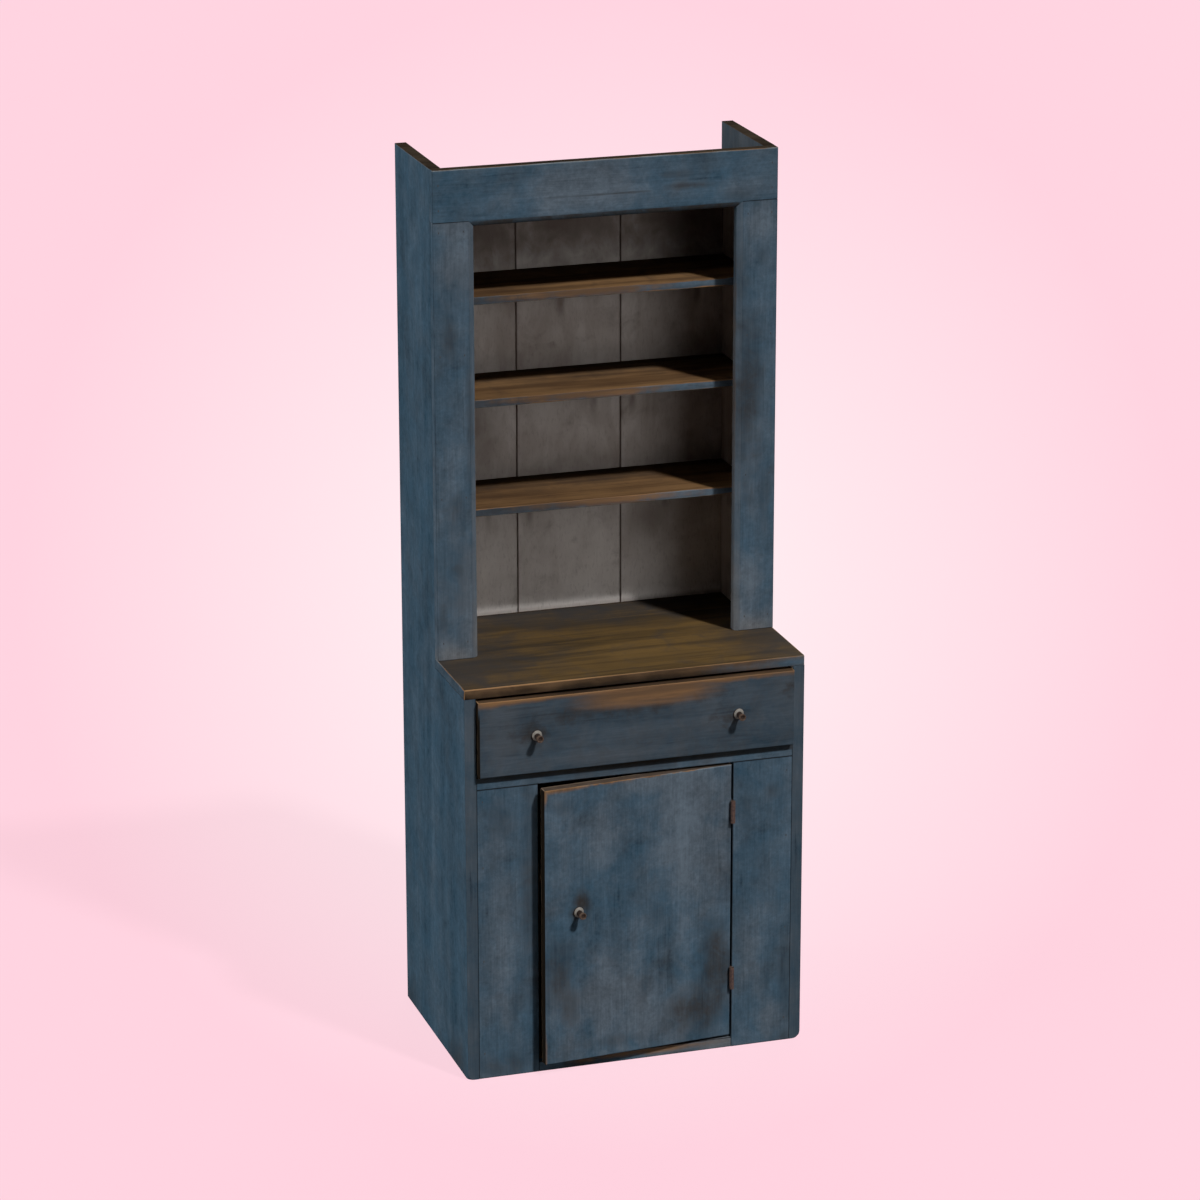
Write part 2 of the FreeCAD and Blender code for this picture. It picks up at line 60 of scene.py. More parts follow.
# Planes that several pieces share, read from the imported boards
COUNTER_UNDER, COUNTER_TOP = (corner.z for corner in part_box("counter_board"))
BASE_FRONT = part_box("lower_stile_left")[0].y
RACK_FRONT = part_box("frieze_board")[0].y
BACK_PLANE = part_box("back_board_left")[1].y
LEFT_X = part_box("side_left")[0].x
RIGHT_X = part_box("side_right")[1].x
TOP_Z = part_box("side_left")[1].z
STILE_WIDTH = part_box("upper_stile_left")[1].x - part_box("upper_stile_left")[0].x

# Width of the chamfer round the rack's opening
CHAMFER = 12.0 * MM

SHELVES = ("shelf_upper", "shelf_middle", "shelf_lower")
BACK_BOARDS = ("back_board_left", "back_board_middle", "back_board_right")
INNER_BOARDS = (
    "top_board", "base_shelf", "drawer_runner_left", "drawer_runner_right",
    "drawer_stop_left", "drawer_stop_right", "door_stop",
)
DRAWER_SIDES = ("drawer_side_left", "drawer_side_right")
BATTENS = ("door_batten_upper", "door_batten_lower")

# How far each board's pattern is moved on from the last one's, so that no two are alike
SHELF_STEP, BACK_STEP, PINE_STEP = 0.37, 0.53, 0.29

# Dark, light, rubbed and grimy tones of the woods that no setting changes
SOOTY = ((0.014, 0.010, 0.008), (0.047, 0.035, 0.024), (0.060, 0.040, 0.028), (0.008, 0.006, 0.005))
GRIMY = ((0.006, 0.005, 0.004), (0.016, 0.012, 0.009), (0.030, 0.020, 0.013), (0.004, 0.003, 0.003))
DRAWER_TOP = ((0.024, 0.016, 0.011), (0.090, 0.054, 0.030), (0.26, 0.16, 0.085), (0.012, 0.009, 0.008))
DOOR_TOP = ((0.05, 0.037, 0.028), (0.085, 0.062, 0.047), (0.23, 0.165, 0.115), (0.012, 0.009, 0.008))
COUNTER_EDGE = ((0.040, 0.026, 0.017), (0.165, 0.098, 0.052), (0.27, 0.15, 0.07), (0.016, 0.012, 0.009))

# Chalked paint and painted highlight along the arrises
CHALK_AND_HIGHLIGHT_TONE = (0.20, 0.22, 0.23)
DUST_TONE = (0.165, 0.155, 0.148)
# Painted light: the pale tone of a band where a lamp's light is painted on
PAINTED_LIGHT_TONE = (0.92, 0.87, 0.83)
NAIL_MARK_TONE = (0.014, 0.009, 0.007)
ROSE_DIRT_TONE = (0.11, 0.10, 0.085)

# Spots of wear, of dirt and of painted shade, of grey and of dust, measured from a board's middle: x,
# z, their reach along x and along z, and strength; where a spot isn't as deep as the board, its y and
# its reach along y follow
RACK_SPOTS = {
    "frieze_board": {
        "greys": [(-0.05, 0.01, 0.18, 0.075, 1.7), (0.28, -0.02, 0.10, 0.04, 0.6)],
        "dirts": [(0.17, -0.006, 0.10, 0.012, 0.65), (0.14, 0.018, 0.09, 0.012, 0.5),
                  (0.02, -0.012, 0.16, 0.004, 0.7), (0.27, -0.03, 0.06, 0.02, 0.4)]},
    "upper_stile_left": {
        "greys": [(0.01, 0.37, 0.05, 0.07, 1.0), (0.030, -0.33, 0.035, 0.14, 1.5),
                  (0.042, -0.25, 0.012, 0.25, 1.3)],
        # The tall narrow spot beside the opening is painted shade
        "dirts": [(-0.01, 0.22, 0.025, 0.08, 0.60), (0.0, -0.13, 0.03, 0.05, 0.5),
                  (0.03, 0.05, 0.015, 0.25, 0.5), (-0.03, -0.36, 0.02, 0.06, 0.5),
                  (0.0, -0.28, 0.08, 0.20, 0.34), (0.0, 0.32, 0.08, 0.12, 0.25),
                  (0.0, -0.26, 0.03, 0.03, 0.5)]},
    "upper_stile_right": {
        "greys": [(0.0, 0.40, 0.05, 0.04, 1.0), (-0.01, -0.34, 0.03, 0.08, 1.0)],
        "dirts": [(-0.02, 0.05, 0.055, 0.27, 0.72), (0.01, 0.33, 0.02, 0.03, 0.4),
                  (-0.035, 0.30, 0.03, 0.12, 0.45), (0.02, -0.16, 0.02, 0.12, 0.4)]},
}
BASE_SPOTS = {
    # The rail's dark spots along its top are the drawer front's painted shadow
    "drawer_rail": {
        "dirts": [(-0.02, 0.012, 0.40, 0.014, 1.0), (-0.02, 0.0, 0.34, 0.03, 0.6)]},
    "lower_stile_left": {
        # The tall spot along the door's opening and the spot at the foot are painted shade
        "dirts": [(0.0, -0.29, 0.09, 0.05, 0.5), (0.045, 0.1, 0.03, 0.3, 0.55),
                  (-0.01, 0.24, 0.05, 0.06, 0.45)],
        "greys": [(-0.02, 0.05, 0.04, 0.25, 0.8)]},
    "lower_stile_right": {
        "dirts": [(0.055, -0.16, 0.03, 0.16, 0.45), (-0.035, 0.22, 0.03, 0.05, 0.3),
                  (0.050, -0.31, 0.05, 0.04, 0.6), (0.02, 0.24, 0.03, 0.03, 0.5)],
        "greys": [(0.02, -0.26, 0.05, 0.05, 1.0), (-0.03, -0.10, 0.03, 0.10, 0.6)]},
    "bottom_board": {
        "wears": [(0.02, 0.004, 0.20, 0.012, 0.75, -0.23, 0.05)],
        "dusts": [(0.19, 0.0, 0.09, 0.03, 0.5, -0.23, 0.05),
                  (0.08, 0.0, 0.10, 0.02, 0.25, -0.23, 0.05)],
        "dirts": [(-0.1, 0, 0.1, 0.03, 0.8, -0.23, 0.05),
                  (0.10, -0.01, 0.06, 0.008, 0.6, -0.23, 0.05)]},
}


# ---------------------------------------------------------------- what a user may change
def colour(name, default, description):
    return bpy.props.FloatVectorProperty(
        name=name, subtype="COLOR", size=3, min=0, max=1, default=default, description=description)


def length(name, default, description):
    return bpy.props.FloatProperty(
        name=name, subtype="DISTANCE", unit="LENGTH", min=0, default=default, description=description)


def lamp_strength(name, default, description):
    return bpy.props.FloatProperty(name=name, min=0, default=default, description=description)


class CupboardPaint(bpy.types.PropertyGroup):
    """The old paint and how far it has worn."""
    blue: colour("Blue", (0.035, 0.074, 0.112), "Paint where it is still sound")
    grey: colour("Grey", (0.088, 0.112, 0.139), "Paint that has chalked")
    haze: colour("Haze", (0.032, 0.029, 0.028), "Brown dirt over the paint")
    bare: colour("Bare wood", (0.222, 0.119, 0.056), "Wood that shows on worn arrises")
    under: colour("Seam", (0.010, 0.009, 0.009), "Dirt packed in the seams")
    reach: length("Wear reach", 5 * MM, "How far wear runs in from an arris")


class CupboardWood(bpy.types.PropertyGroup):
    """The unpainted woods."""
    counter_dark: colour("Counter dark", (0.034, 0.024, 0.014), "Dark streaks of the counter")
    counter_gold: colour("Counter gold", (0.122, 0.073, 0.026), "Rubbed streaks of the counter")
    shelf_dark: colour("Shelf dark", (0.052, 0.028, 0.015), "Dark streaks of the shelves")
    shelf_light: colour("Shelf light", (0.175, 0.098, 0.044), "Light streaks of the shelves")
    back_light: colour("Back light", (0.660, 0.615, 0.585), "Back boards where clean")
    back_dark: colour("Back dark", (0.390, 0.335, 0.305), "Back boards where stained")
    aged_light: colour("Aged light", (0.170, 0.125, 0.085), "The cupboard's unpainted back")
    aged_dark: colour("Aged dark", (0.075, 0.052, 0.034), "Grain of the unpainted back")
    pine_light: colour("Pine light", (0.260, 0.170, 0.095), "Unpainted inner boards")
    pine_dark: colour("Pine dark", (0.135, 0.080, 0.042), "Grain of the inner boards")
    knob_rose: colour("Knob rose", (0.205, 0.192, 0.172), "Greyed wood of a knob's rose")
    knob_head: colour("Knob head", (0.100, 0.068, 0.050), "Handled wood of a knob's head")
    # The dark colour of a knob's neck and cove, rim and dish: dirt and painted shade
    knob_neck: colour("Knob neck", (0.022, 0.015, 0.012), "Dirt round a knob's neck")


class CupboardSizes(bpy.types.PropertyGroup):
    """Sizes of what is added to the boards."""
    arris: length("Arris", 0.9 * MM, "Rounding of a board's arrises")
    worn_arris: length("Worn arris", 1.6 * MM, "Rounding of the counter's and shelves' arrises")
    knob_rose: length("Knob rose", 11.4 * MM, "Radius of a knob's rose")
    knob_neck: length("Knob neck", 5.3 * MM, "Radius of a knob's neck")
    knob_head: length("Knob head", 7.7 * MM, "Radius of a knob's head")
    screw_head: length("Screw head", 3.1 * MM, "Radius of a hinge screw's head")
    nail_long: length("Nail head", 4.0 * MM, "Length of a cut nail's head")


class CupboardStage(bpy.types.PropertyGroup):
    """Floor, lamps and camera."""
    # The floor's colour in the painted pool of light round the cupboard
    glow: colour("Floor glow", (1.0, 0.896, 0.913), "Floor colour round the cupboard")
    floor: colour("Floor", (1.0, 0.651, 0.745), "Floor colour towards the edges")
    key: lamp_strength("Key", 3.27, "Strength of the main lamp")
    front: lamp_strength("Front fill", 1.03, "Low front lamp")
    left: lamp_strength("Left fill", 2.7, "Lamp on the left")
    behind: lamp_strength("Back fill", 2.0, "Lamp behind")
    lens: bpy.props.FloatProperty(
        name="Lens", subtype="DISTANCE_CAMERA", default=134.014, description="Focal length")


class CupboardSettings(bpy.types.PropertyGroup):
    """All that a user may change."""
    paint: bpy.props.PointerProperty(type=CupboardPaint, name="Paint", description="Paint and wear")
    wood: bpy.props.PointerProperty(type=CupboardWood, name="Wood", description="Unpainted woods")
    sizes: bpy.props.PointerProperty(type=CupboardSizes, name="Sizes", description="Small sizes")
    stage: bpy.props.PointerProperty(type=CupboardStage, name="Stage", description="Floor and light")


def settings():
    return bpy.context.scene.cupboard


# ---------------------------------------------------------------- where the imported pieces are
def turned_back(node, turn):
    """A node's vertices, with its turn about the upright axis undone."""
    back = Matrix.Rotation(-turn, 3, "Z")
    return [back @ vertex.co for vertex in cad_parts[node].data.vertices]


def own_box(node, turn=0.0):
    """A node's box along its own sides, when it is turned about the upright axis."""
    places = turned_back(node, turn)
    return tuple(
        Vector([end(place[axis] for place in places) for axis in range(3)]) for end in (min, max))


# ---------------------------------------------------------------- node helpers
class Tree:
    """Adds nodes to one node tree, each fed by values or by other nodes' outputs."""

    def __init__(self, tree):
        self.tree = tree

    def feed(self, socket, value):
        if isinstance(value, bpy.types.NodeSocket):
            self.tree.links.new(value, socket)
        elif socket.type == "RGBA":
            socket.default_value = tuple(value)[:3] + (1.0,)
        else:
            socket.default_value = value

    def add(self, kind, feeds=(), **options):
        node = self.tree.nodes.new("ShaderNode" + kind)
        for name, value in options.items():
            setattr(node, name, value)
        for name, value in dict(feeds).items():
            self.feed(node.inputs[name], value)
        return node

    def first(self, kind, feeds=(), **options):
        """The first output of a new node."""
        return self.add(kind, feeds, **options).outputs[0]

    def math(self, operation, a, b=0.0, clamp=False):
        return self.first("Math", {0: a, 1: b}, operation=operation, use_clamp=clamp)

    def plus(self, a, b):
        return self.math("ADD", a, b)

    def minus(self, a, b):
        return self.math("SUBTRACT", a, b)

    def times(self, a, b):
        return self.math("MULTIPLY", a, b)

    def larger(self, a, b, clamp=False):
        return self.math("MAXIMUM", a, b, clamp)

    def smaller(self, a, b):
        return self.math("MINIMUM", a, b)

    def size(self, value):
        return self.math("ABSOLUTE", value)

    def vector_math(self, operation, a, b=(0, 0, 0), output="Vector"):
        return self.add("VectorMath", {0: a, 1: b}, operation=operation).outputs[output]

    def fade(self, value, start, end, low=0.0, high=1.0):
        """A smooth change from low to high as value goes from start to end."""
        return self.first(
            "MapRange",
            {"Value": value, "From Min": start, "From Max": end, "To Min": low, "To Max": high},
            interpolation_type="SMOOTHSTEP")

    def mix(self, factor, a, b, blend="MIX"):
        node = self.add("Mix", data_type="RGBA", blend_type=blend)
        for index, value in ((0, factor), (6, a), (7, b)):
            self.feed(node.inputs[index], value)
        return node.outputs[2]

    def blend(self, factor, a, b):
        """A plain number that goes from a to b with factor."""
        return self.plus(a, self.times(factor, self.minus(b, a)))

    def noise(self, place, scale, detail=3.0, roughness=0.5, distortion=0.0):
        return self.add("TexNoise", {
            "Vector": place, "Scale": scale, "Detail": detail, "Roughness": roughness,
            "Distortion": distortion}).outputs["Fac"]

    def mapped(self, place, **changes):
        return self.first("Mapping", {"Vector": place, **changes}, vector_type="POINT")

    def effect(self, name, **feeds):
        """The outputs of one of the shared groups, with its inputs fed by name."""
        if name not in bpy.data.node_groups:
            EFFECTS[name](name)
        feeds = {label.replace("_", " ").title(): value for label, value in feeds.items()}
        return self.add("Group", feeds, node_tree=bpy.data.node_groups[name]).outputs

    def seen(self):
        """1 where the camera looks, straight or by a reflection."""
        paths = self.add("LightPath").outputs
        return self.larger(paths["Is Camera Ray"], paths["Is Glossy Ray"])

    def shaders(self, factor, a, b):
        return self.first("MixShader", {0: factor, 1: a, 2: b})


def empty_tree(owner):
    """The node tree of a new material or world, with its first nodes taken out."""
    owner.use_nodes = True
    owner.node_tree.nodes.clear()
    return Tree(owner.node_tree)


def new_group(name, vectors, numbers=(), colours=(), outputs=("Colour", "Roughness", "Height")):
    """An empty shader group, and the sockets that it is given and gives out."""
    group = bpy.data.node_groups.new(name, "ShaderNodeTree")
    for labels, kind in ((vectors, "Vector"), (numbers, "Float"), (colours, "Color")):
        for label in labels:
            group.interface.new_socket(label, in_out="INPUT", socket_type="NodeSocket" + kind)
    for label in outputs:
        kind = "Color" if label == "Colour" else "Float"
        group.interface.new_socket(label, in_out="OUTPUT", socket_type="NodeSocket" + kind)
    given, out = (group.nodes.new("NodeGroup" + end) for end in ("Input", "Output"))
    return Tree(group), given.outputs, out.inputs


# ---------------------------------------------------------------- shared effects
def arris_group(name):
    """Distance in from the nearest arris of a box that is centred on Place."""
    tree, given, out = new_group(name, ("Place", "Half"), outputs=["Distance"])
    away = tree.vector_math("ABSOLUTE", given["Place"])
    x, y, z = tree.add("SeparateXYZ", {0: tree.vector_math("SUBTRACT", given["Half"], away)}).outputs
    middle = tree.larger(tree.smaller(x, y), tree.smaller(tree.larger(x, y), z))
    tree.feed(out["Distance"], tree.larger(middle, 0.0))


def spot_group(name):
    """A soft, ragged spot: 1 at Centre and 0 beyond Radius."""
    tree, given, out = new_group(name, ("Place", "Centre", "Radius"), outputs=["Mask"])
    away = tree.vector_math("SUBTRACT", given["Place"], given["Centre"])
    away = tree.vector_math("DIVIDE", away, given["Radius"])
    reach = tree.vector_math("LENGTH", away, output="Value")
    ragged = tree.times(tree.minus(tree.noise(given["Place"], 15, 5, 0.6, 0.4), 0.5), 1.5)
    tree.feed(out["Mask"], tree.fade(tree.plus(reach, ragged), 1.25, 0.0))


def grain_group(name):
    """Wood grain on a place that is already stretched along the board."""
    tree, given, out = new_group(name, ["Place"], outputs=("Streaks", "Pores", "Rings"))
    place = given["Place"]
    tree.feed(out["Streaks"], tree.fade(tree.noise(place, 34, 5, 0.62, 0.35), 0.28, 0.72))
    tree.feed(out["Pores"], tree.fade(tree.noise(place, 260, 3, 0.6), 0.35, 0.75))
    tree.feed(out["Rings"], tree.fade(tree.noise(place, 20, 4, 0.6, 0.6), 0.38, 0.60))


def paint_group(name):
    """Old paint in clouds of blue and grey, bare near the arrises and where Wear says."""
    tree, given, out = new_group(
        name, ("Place", "Grain Place"),
        ("Arris", "Seam", "Reach", "Wear", "Dirt", "Greyness", "Mottle", "Chalky", "Dust"),
        ("Blue", "Grey", "Haze", "Bare", "Under"))
    place, grain_place = given["Place"], given["Grain Place"]
    streaks, pores, _ = tree.effect("Board Grain", place=grain_place)
    elsewhere = tree.vector_math("ADD", place, (3.1, 1.7, 5.3))

    # Clouds of sound and chalked paint
    clouds = tree.noise(place, 10, 8, 0.68, 0.4)
    brushed = tree.noise(grain_place, 15, 4, 0.6, 0.3)
    cloudy = tree.plus(tree.times(clouds, 0.7), tree.times(brushed, 0.3))
    cloudy = tree.times(tree.minus(cloudy, 0.5), given["Mottle"])
    chalk = tree.fade(tree.plus(cloudy, given["Greyness"]), -0.24, 0.26)
    paint = tree.mix(chalk, given["Blue"], given["Grey"])
    # Lighter along the arrises: chalked paint and painted highlight
    arris_chalk_and_highlight = tree.times(tree.fade(given["Arris"], 3.2 * MM, 0.4 * MM), given["Chalky"])
    paint = tree.mix(arris_chalk_and_highlight, paint, CHALK_AND_HIGHLIGHT_TONE)
    paint = tree.mix(given["Dust"], paint, DUST_TONE)

    # Smoke and dirt, and painted shade where a board's dirt masks carry it
    fine = tree.noise(elsewhere, 130, 4, 0.65)
    blotches = tree.noise(elsewhere, 17, 8, 0.7, 0.7)
    smoke = tree.noise(elsewhere, 6.5, 5, 0.62, 0.3)
    smoky = tree.times(tree.fade(smoke, 0.48, 0.78, 0.0, 0.55), given["Mottle"])
    scuffed = tree.plus(given["Dirt"], tree.times(tree.minus(fine, 0.5), 0.5))
    dirt = tree.times(tree.fade(scuffed, 0.0, 1.0), tree.fade(given["Dirt"], 0.0, 0.3))
    dirt = tree.times(dirt, tree.fade(blotches, 0.34, 0.60, 0.55, 1.0))
    paint = tree.mix(tree.larger(smoky, dirt, clamp=True), paint, given["Haze"])

    # Brush marks, scratches and the grain that shows through
    scratches = tree.fade(tree.noise(grain_place, 95, 2, 0.5, 0.5), 0.58, 0.74, 0.0, -0.18)
    tone = tree.plus(scratches, 1.02)
    for pattern, middle, amount in (
            (blotches, 0.5, 1.0), (fine, 0.5, 0.65), (brushed, 0.5, 0.5),
            (streaks, 0.5, 0.15), (pores, 0.4, 0.16)):
        tone = tree.plus(tone, tree.times(tree.minus(pattern, middle), amount))
    paint = tree.mix(1.0, paint, tree.first("CombineColor", {0: tone, 1: tone, 2: tone}), "MULTIPLY")

    # Bare wood where the paint has rubbed or flaked off
    ragged = tree.noise(grain_place, 40, 5, 0.65)
    patchy = tree.noise(place, 11, 3, 0.5)
    local = tree.times(tree.fade(patchy, 0.36, 0.66, 0.15, 1.5), given["Reach"])
    edge = tree.times(local, tree.fade(ragged, 0.25, 0.75, 0.2, 1.2))
    rubbed = tree.fade(given["Arris"], edge, tree.times(edge, 0.35))
    loose = tree.times(tree.minus(ragged, 0.5), 0.60)
    flaked = tree.fade(tree.plus(given["Wear"], loose), 0.04, 0.92)
    flaked = tree.times(flaked, tree.fade(given["Wear"], 0.0, 0.3))
    worn = tree.larger(rubbed, flaked, clamp=True)
    bare = tree.mix(tree.fade(streaks, 0.1, 0.9, 0.0, 0.55), given["Bare"], given["Haze"])
    finish = tree.mix(worn, paint, bare)
    seam = tree.fade(given["Seam"], 2.2 * MM, 0.6 * MM)
    finish = tree.mix(tree.times(seam, 0.85), finish, given["Under"])

    tree.feed(out["Colour"], finish)
    tree.feed(out["Roughness"], tree.fade(worn, 0.0, 1.0, 0.72, 0.62))
    relief = tree.plus(tree.times(streaks, 0.5), tree.times(pores, 0.3))
    tree.feed(out["Height"], tree.minus(relief, tree.times(worn, 0.35)))


def wood_group(name):
    """Bare wood: two tones along the grain, grime in the corners and rubbed arrises, with dirt and
    painted shade where Dirt says and a painted band of light where Pale says.
    """
    tree, given, out = new_group(
        name, ("Place", "Grain Place"),
        ("Arris", "Seam", "Reach", "Dirt", "Patchy", "Stain", "Pale"),
        ("Dark", "Light", "Rubbed", "Grime"))
    place, grain_place, grime = given["Place"], given["Grain Place"], given["Grime"]
    streaks, pores, rings = tree.effect("Board Grain", place=grain_place)
    broad = tree.noise(place, 7, 3, 0.5, 0.2)
    streaky = tree.plus(tree.times(rings, 0.65), tree.times(streaks, 0.35))
    amount = tree.blend(given["Patchy"], streaky, tree.fade(broad, 0.30, 0.66))
    finish = tree.mix(amount, given["Dark"], given["Light"])
    # Painted light: a pale band, as far as Pale reaches
    finish = tree.mix(given["Pale"], finish, PAINTED_LIGHT_TONE)
    open_pores = tree.times(tree.fade(pores, 0.45, 1.0, 0.0, 0.35), tree.minus(1.0, given["Patchy"]))
    finish = tree.mix(open_pores, finish, grime)
    stain = tree.times(tree.fade(tree.noise(place, 13, 6, 0.66, 0.6), 0.50, 0.80), given["Stain"])
    # Stains, and painted shade where a board's Dirt mask carries it
    finish = tree.mix(tree.larger(stain, given["Dirt"]), finish, grime)
    ragged = tree.fade(tree.noise(grain_place, 22, 4, 0.6), 0.25, 0.7, 0.25, 1.15)
    edge = tree.times(ragged, given["Reach"])
    rubbed = tree.fade(given["Arris"], edge, tree.times(edge, 0.3), 0.0, 0.9)
    finish = tree.mix(rubbed, finish, given["Rubbed"])
    finish = tree.mix(tree.fade(given["Seam"], 3.0 * MM, 0.8 * MM, 0.0, 0.9), finish, grime)
    tree.feed(out["Colour"], finish)
    tree.feed(out["Roughness"], tree.fade(streaks, 0.0, 1.0, 0.62, 0.74))
    tree.feed(out["Height"], tree.plus(tree.times(streaks, 0.55), tree.times(pores, 0.3)))


EFFECTS = {
    "Arris Distance": arris_group,
    "Ragged Spot": spot_group,
    "Board Grain": grain_group,
    "Old Paint": paint_group,
    "Bare Wood": wood_group,
}


# ---------------------------------------------------------------- materials
class BoardMaterial:
    """A material whose patterns are centred on a node's box, and turned with it."""

    def __init__(self, kind, node, along="Z", turn=0.0, squeeze=0.07, shift=0.0, box=None):
        self.material = bpy.data.materials.new(kind + "_" + node)
        self.tree = empty_tree(self.material)
        self.node, self.along, self.turn = node, along, turn
        self.low, self.high = box or own_box(node, turn)
        self.half, self.middle = (self.high - self.low) / 2, (self.low + self.high) / 2
        self.place = self.centred(self.low, self.high)
        self.pattern = self.tree.vector_math("ADD", self.place, (shift, 0.7 * shift, 1.3 * shift))
        self.grain_place = self.grain(squeeze)

    def grain(self, squeeze):
        """The pattern's place, drawn out along the board."""
        narrow = [squeeze if axis == self.along else 1.0 for axis in "XYZ"]
        return self.tree.mapped(self.pattern, Scale=narrow)

    def centred(self, low, high):
        """Object coordinates measured from a box's middle, along its own sides."""
        here = self.tree.add("TexCoord").outputs["Object"]
        return self.tree.mapped(here, Location=-(low + high) / 2, Rotation=(0, 0, -self.turn))

    def arris(self, past="", box=None):
        """Distance from a box's arrises, but not from those of the sides in past, such as "-x +z"."""
        low, high = (corner.copy() for corner in box or (self.low, self.high))
        for side in past.split():
            corner, step = (high, 1) if side[0] == "+" else (low, -1)
            corner["xyz".index(side[1])] += step
        place = self.centred(low, high) if past or box else self.place
        return self.tree.effect("Arris Distance", place=place, half=(high - low) / 2)[0]

    def spot(self, x, z, wide, tall, amount=1.0, y=0.0, deep=0.1):
        mask = self.tree.effect(
            "Ragged Spot", place=self.place, centre=(x, y, z), radius=(wide, deep, tall))
        return self.tree.times(mask[0], amount)

    def most(self, spots, masks=()):
        """The strongest of some spots and masks at each place."""
        result = 0.0
        for mask in [self.spot(*spot) for spot in spots] + list(masks):
            result = mask if result == 0.0 else self.tree.larger(result, mask)
        return result

    def coordinate(self, axis):
        return self.tree.add("SeparateXYZ", {0: self.place}).outputs[axis]

    def reached(self, axis, start, end):
        """1 past end and 0 before start, measured along one of the box's sides."""
        return self.tree.fade(self.coordinate(axis), start, end)

    def near(self, axis, start, end):
        """The same, with start and end in millimetres from the low side of the box."""
        low = -self.half["XYZ".index(axis)]
        return self.reached(axis, low + start * MM, low + end * MM)

    def far(self, axis, start, end):
        """The same, with start and end in millimetres from the high side of the box."""
        high = self.half["XYZ".index(axis)]
        return self.reached(axis, high - start * MM, high - end * MM)

    def covered(self, mask, under, over):
        """One finish laid over another where mask is 1."""
        blended = [self.tree.blend(mask, under[index], over[index]) for index in (1, 2)]
        return (self.tree.mix(mask, under[0], over[0]), *blended)

    def paint(self, arris=1.0, seam=1.0, greyness=0.0, mottle=1.0, reach=1.0, chalky=0.35,
              wears=(), dirts=(), greys=(), dusts=(), haze_and_painted_shade=(), rubs=()):
        """Old paint, worn in from one set of arrises and dirty along another."""
        paint = settings().paint
        grey = self.tree.times(self.most(greys), 0.22)
        return tuple(self.tree.effect(
            "Old Paint", place=self.pattern, grain_place=self.grain_place, arris=arris, seam=seam,
            reach=paint.reach * reach, greyness=self.tree.plus(grey, greyness), mottle=mottle,
            chalky=chalky, dust=self.most(dusts), wear=self.most(wears, rubs),
            dirt=self.most(dirts, haze_and_painted_shade), blue=paint.blue, grey=paint.grey, haze=paint.haze,
            bare=paint.bare, under=paint.under))

    def wood(self, dark, light, rubbed, grime, seam=1.0, dirts=(), reach=4 * MM, patchy=0.4,
             stain=0.6, pale=0.0, arris=None, grain=None):
        """Bare wood in two tones."""
        return tuple(self.tree.effect(
            "Bare Wood", place=self.pattern, grain_place=grain or self.grain_place,
            arris=arris or self.arris(), seam=seam, reach=reach, dirt=self.most(dirts),
            patchy=patchy, stain=stain, pale=pale, dark=dark, light=light, rubbed=rubbed, grime=grime))

    def pine(self):
        wood = settings().wood
        return self.wood(
            wood.pine_dark, wood.pine_light, (0.40, 0.29, 0.18), (0.12, 0.08, 0.05), reach=1.5 * MM)

    def sooty(self):
        """The dark brown wood of a board's hidden ends and tops."""
        return self.wood(*SOOTY, reach=1 * MM)

    def weathered(self, **marks):
        """Bleached grey wood, as inside the rack."""
        wood = settings().wood
        return self.wood(wood.back_dark, wood.back_light, (0.40, 0.35, 0.32), (0.13, 0.095, 0.08),
                         reach=0.4 * MM, patchy=0.5, stain=0.50, **marks)

    def aged(self, seam):
        """Wood that was never painted and has gone brown, as on the back."""
        wood = settings().wood
        return self.wood(wood.aged_dark, wood.aged_light, (0.21, 0.16, 0.11), (0.030, 0.022, 0.016),
                         seam=seam, reach=0.8 * MM, patchy=0.10, stain=0.35, grain=self.grain(0.05))

    def framed(self, paint, edges, top):
        """A painted face with near black edges, a brown top edge and bare pine behind."""
        rim = self.covered(
            self.far("Z", 1.0, 0.5), self.wood(*GRIMY, reach=1 * MM), self.wood(*top, reach=2.5 * MM))
        return self.covered(self.far("Y", 0.3, 0.05), self.covered(edges, paint, rim), self.pine())

    def nail_marks(self, across, heights):
        """Small dark rounds in two upright rows, at the heights where the boards are nailed."""
        tree = self.tree
        sideways = tree.minus(tree.size(self.coordinate("X")), across)
        upward = 1.0
        for height in heights:
            upward = tree.smaller(upward, tree.size(tree.minus(self.coordinate("Z"), height)))
        away = tree.plus(tree.times(sideways, sideways), tree.times(upward, upward))
        return tree.fade(tree.math("SQRT", away), 3.4 * MM, 2.4 * MM)

    def made(self, finish, specular=0.0):
        """The material, from a finish's colour, roughness and height; dry wood has no sheen."""
        look, roughness, height = finish
        relief = self.tree.first("Bump", {"Strength": 0.25, "Distance": 0.6 * MM, "Height": height})
        shader = self.tree.first("BsdfPrincipled", {
            "Base Color": look, "Roughness": roughness, "Specular IOR Level": specular,
            "Normal": relief})
        self.tree.add("OutputMaterial", {"Surface": shader})
        return self.material

    def dress(self, finish, body="case", slot="blue_paint", arris=None, segments=2):
        """Puts the finish on the node's board, with eased arrises."""
        arris = settings().sizes.arris if arris is None else arris
        dress_board(self.node, self.made(finish), body, slot, arris, segments)


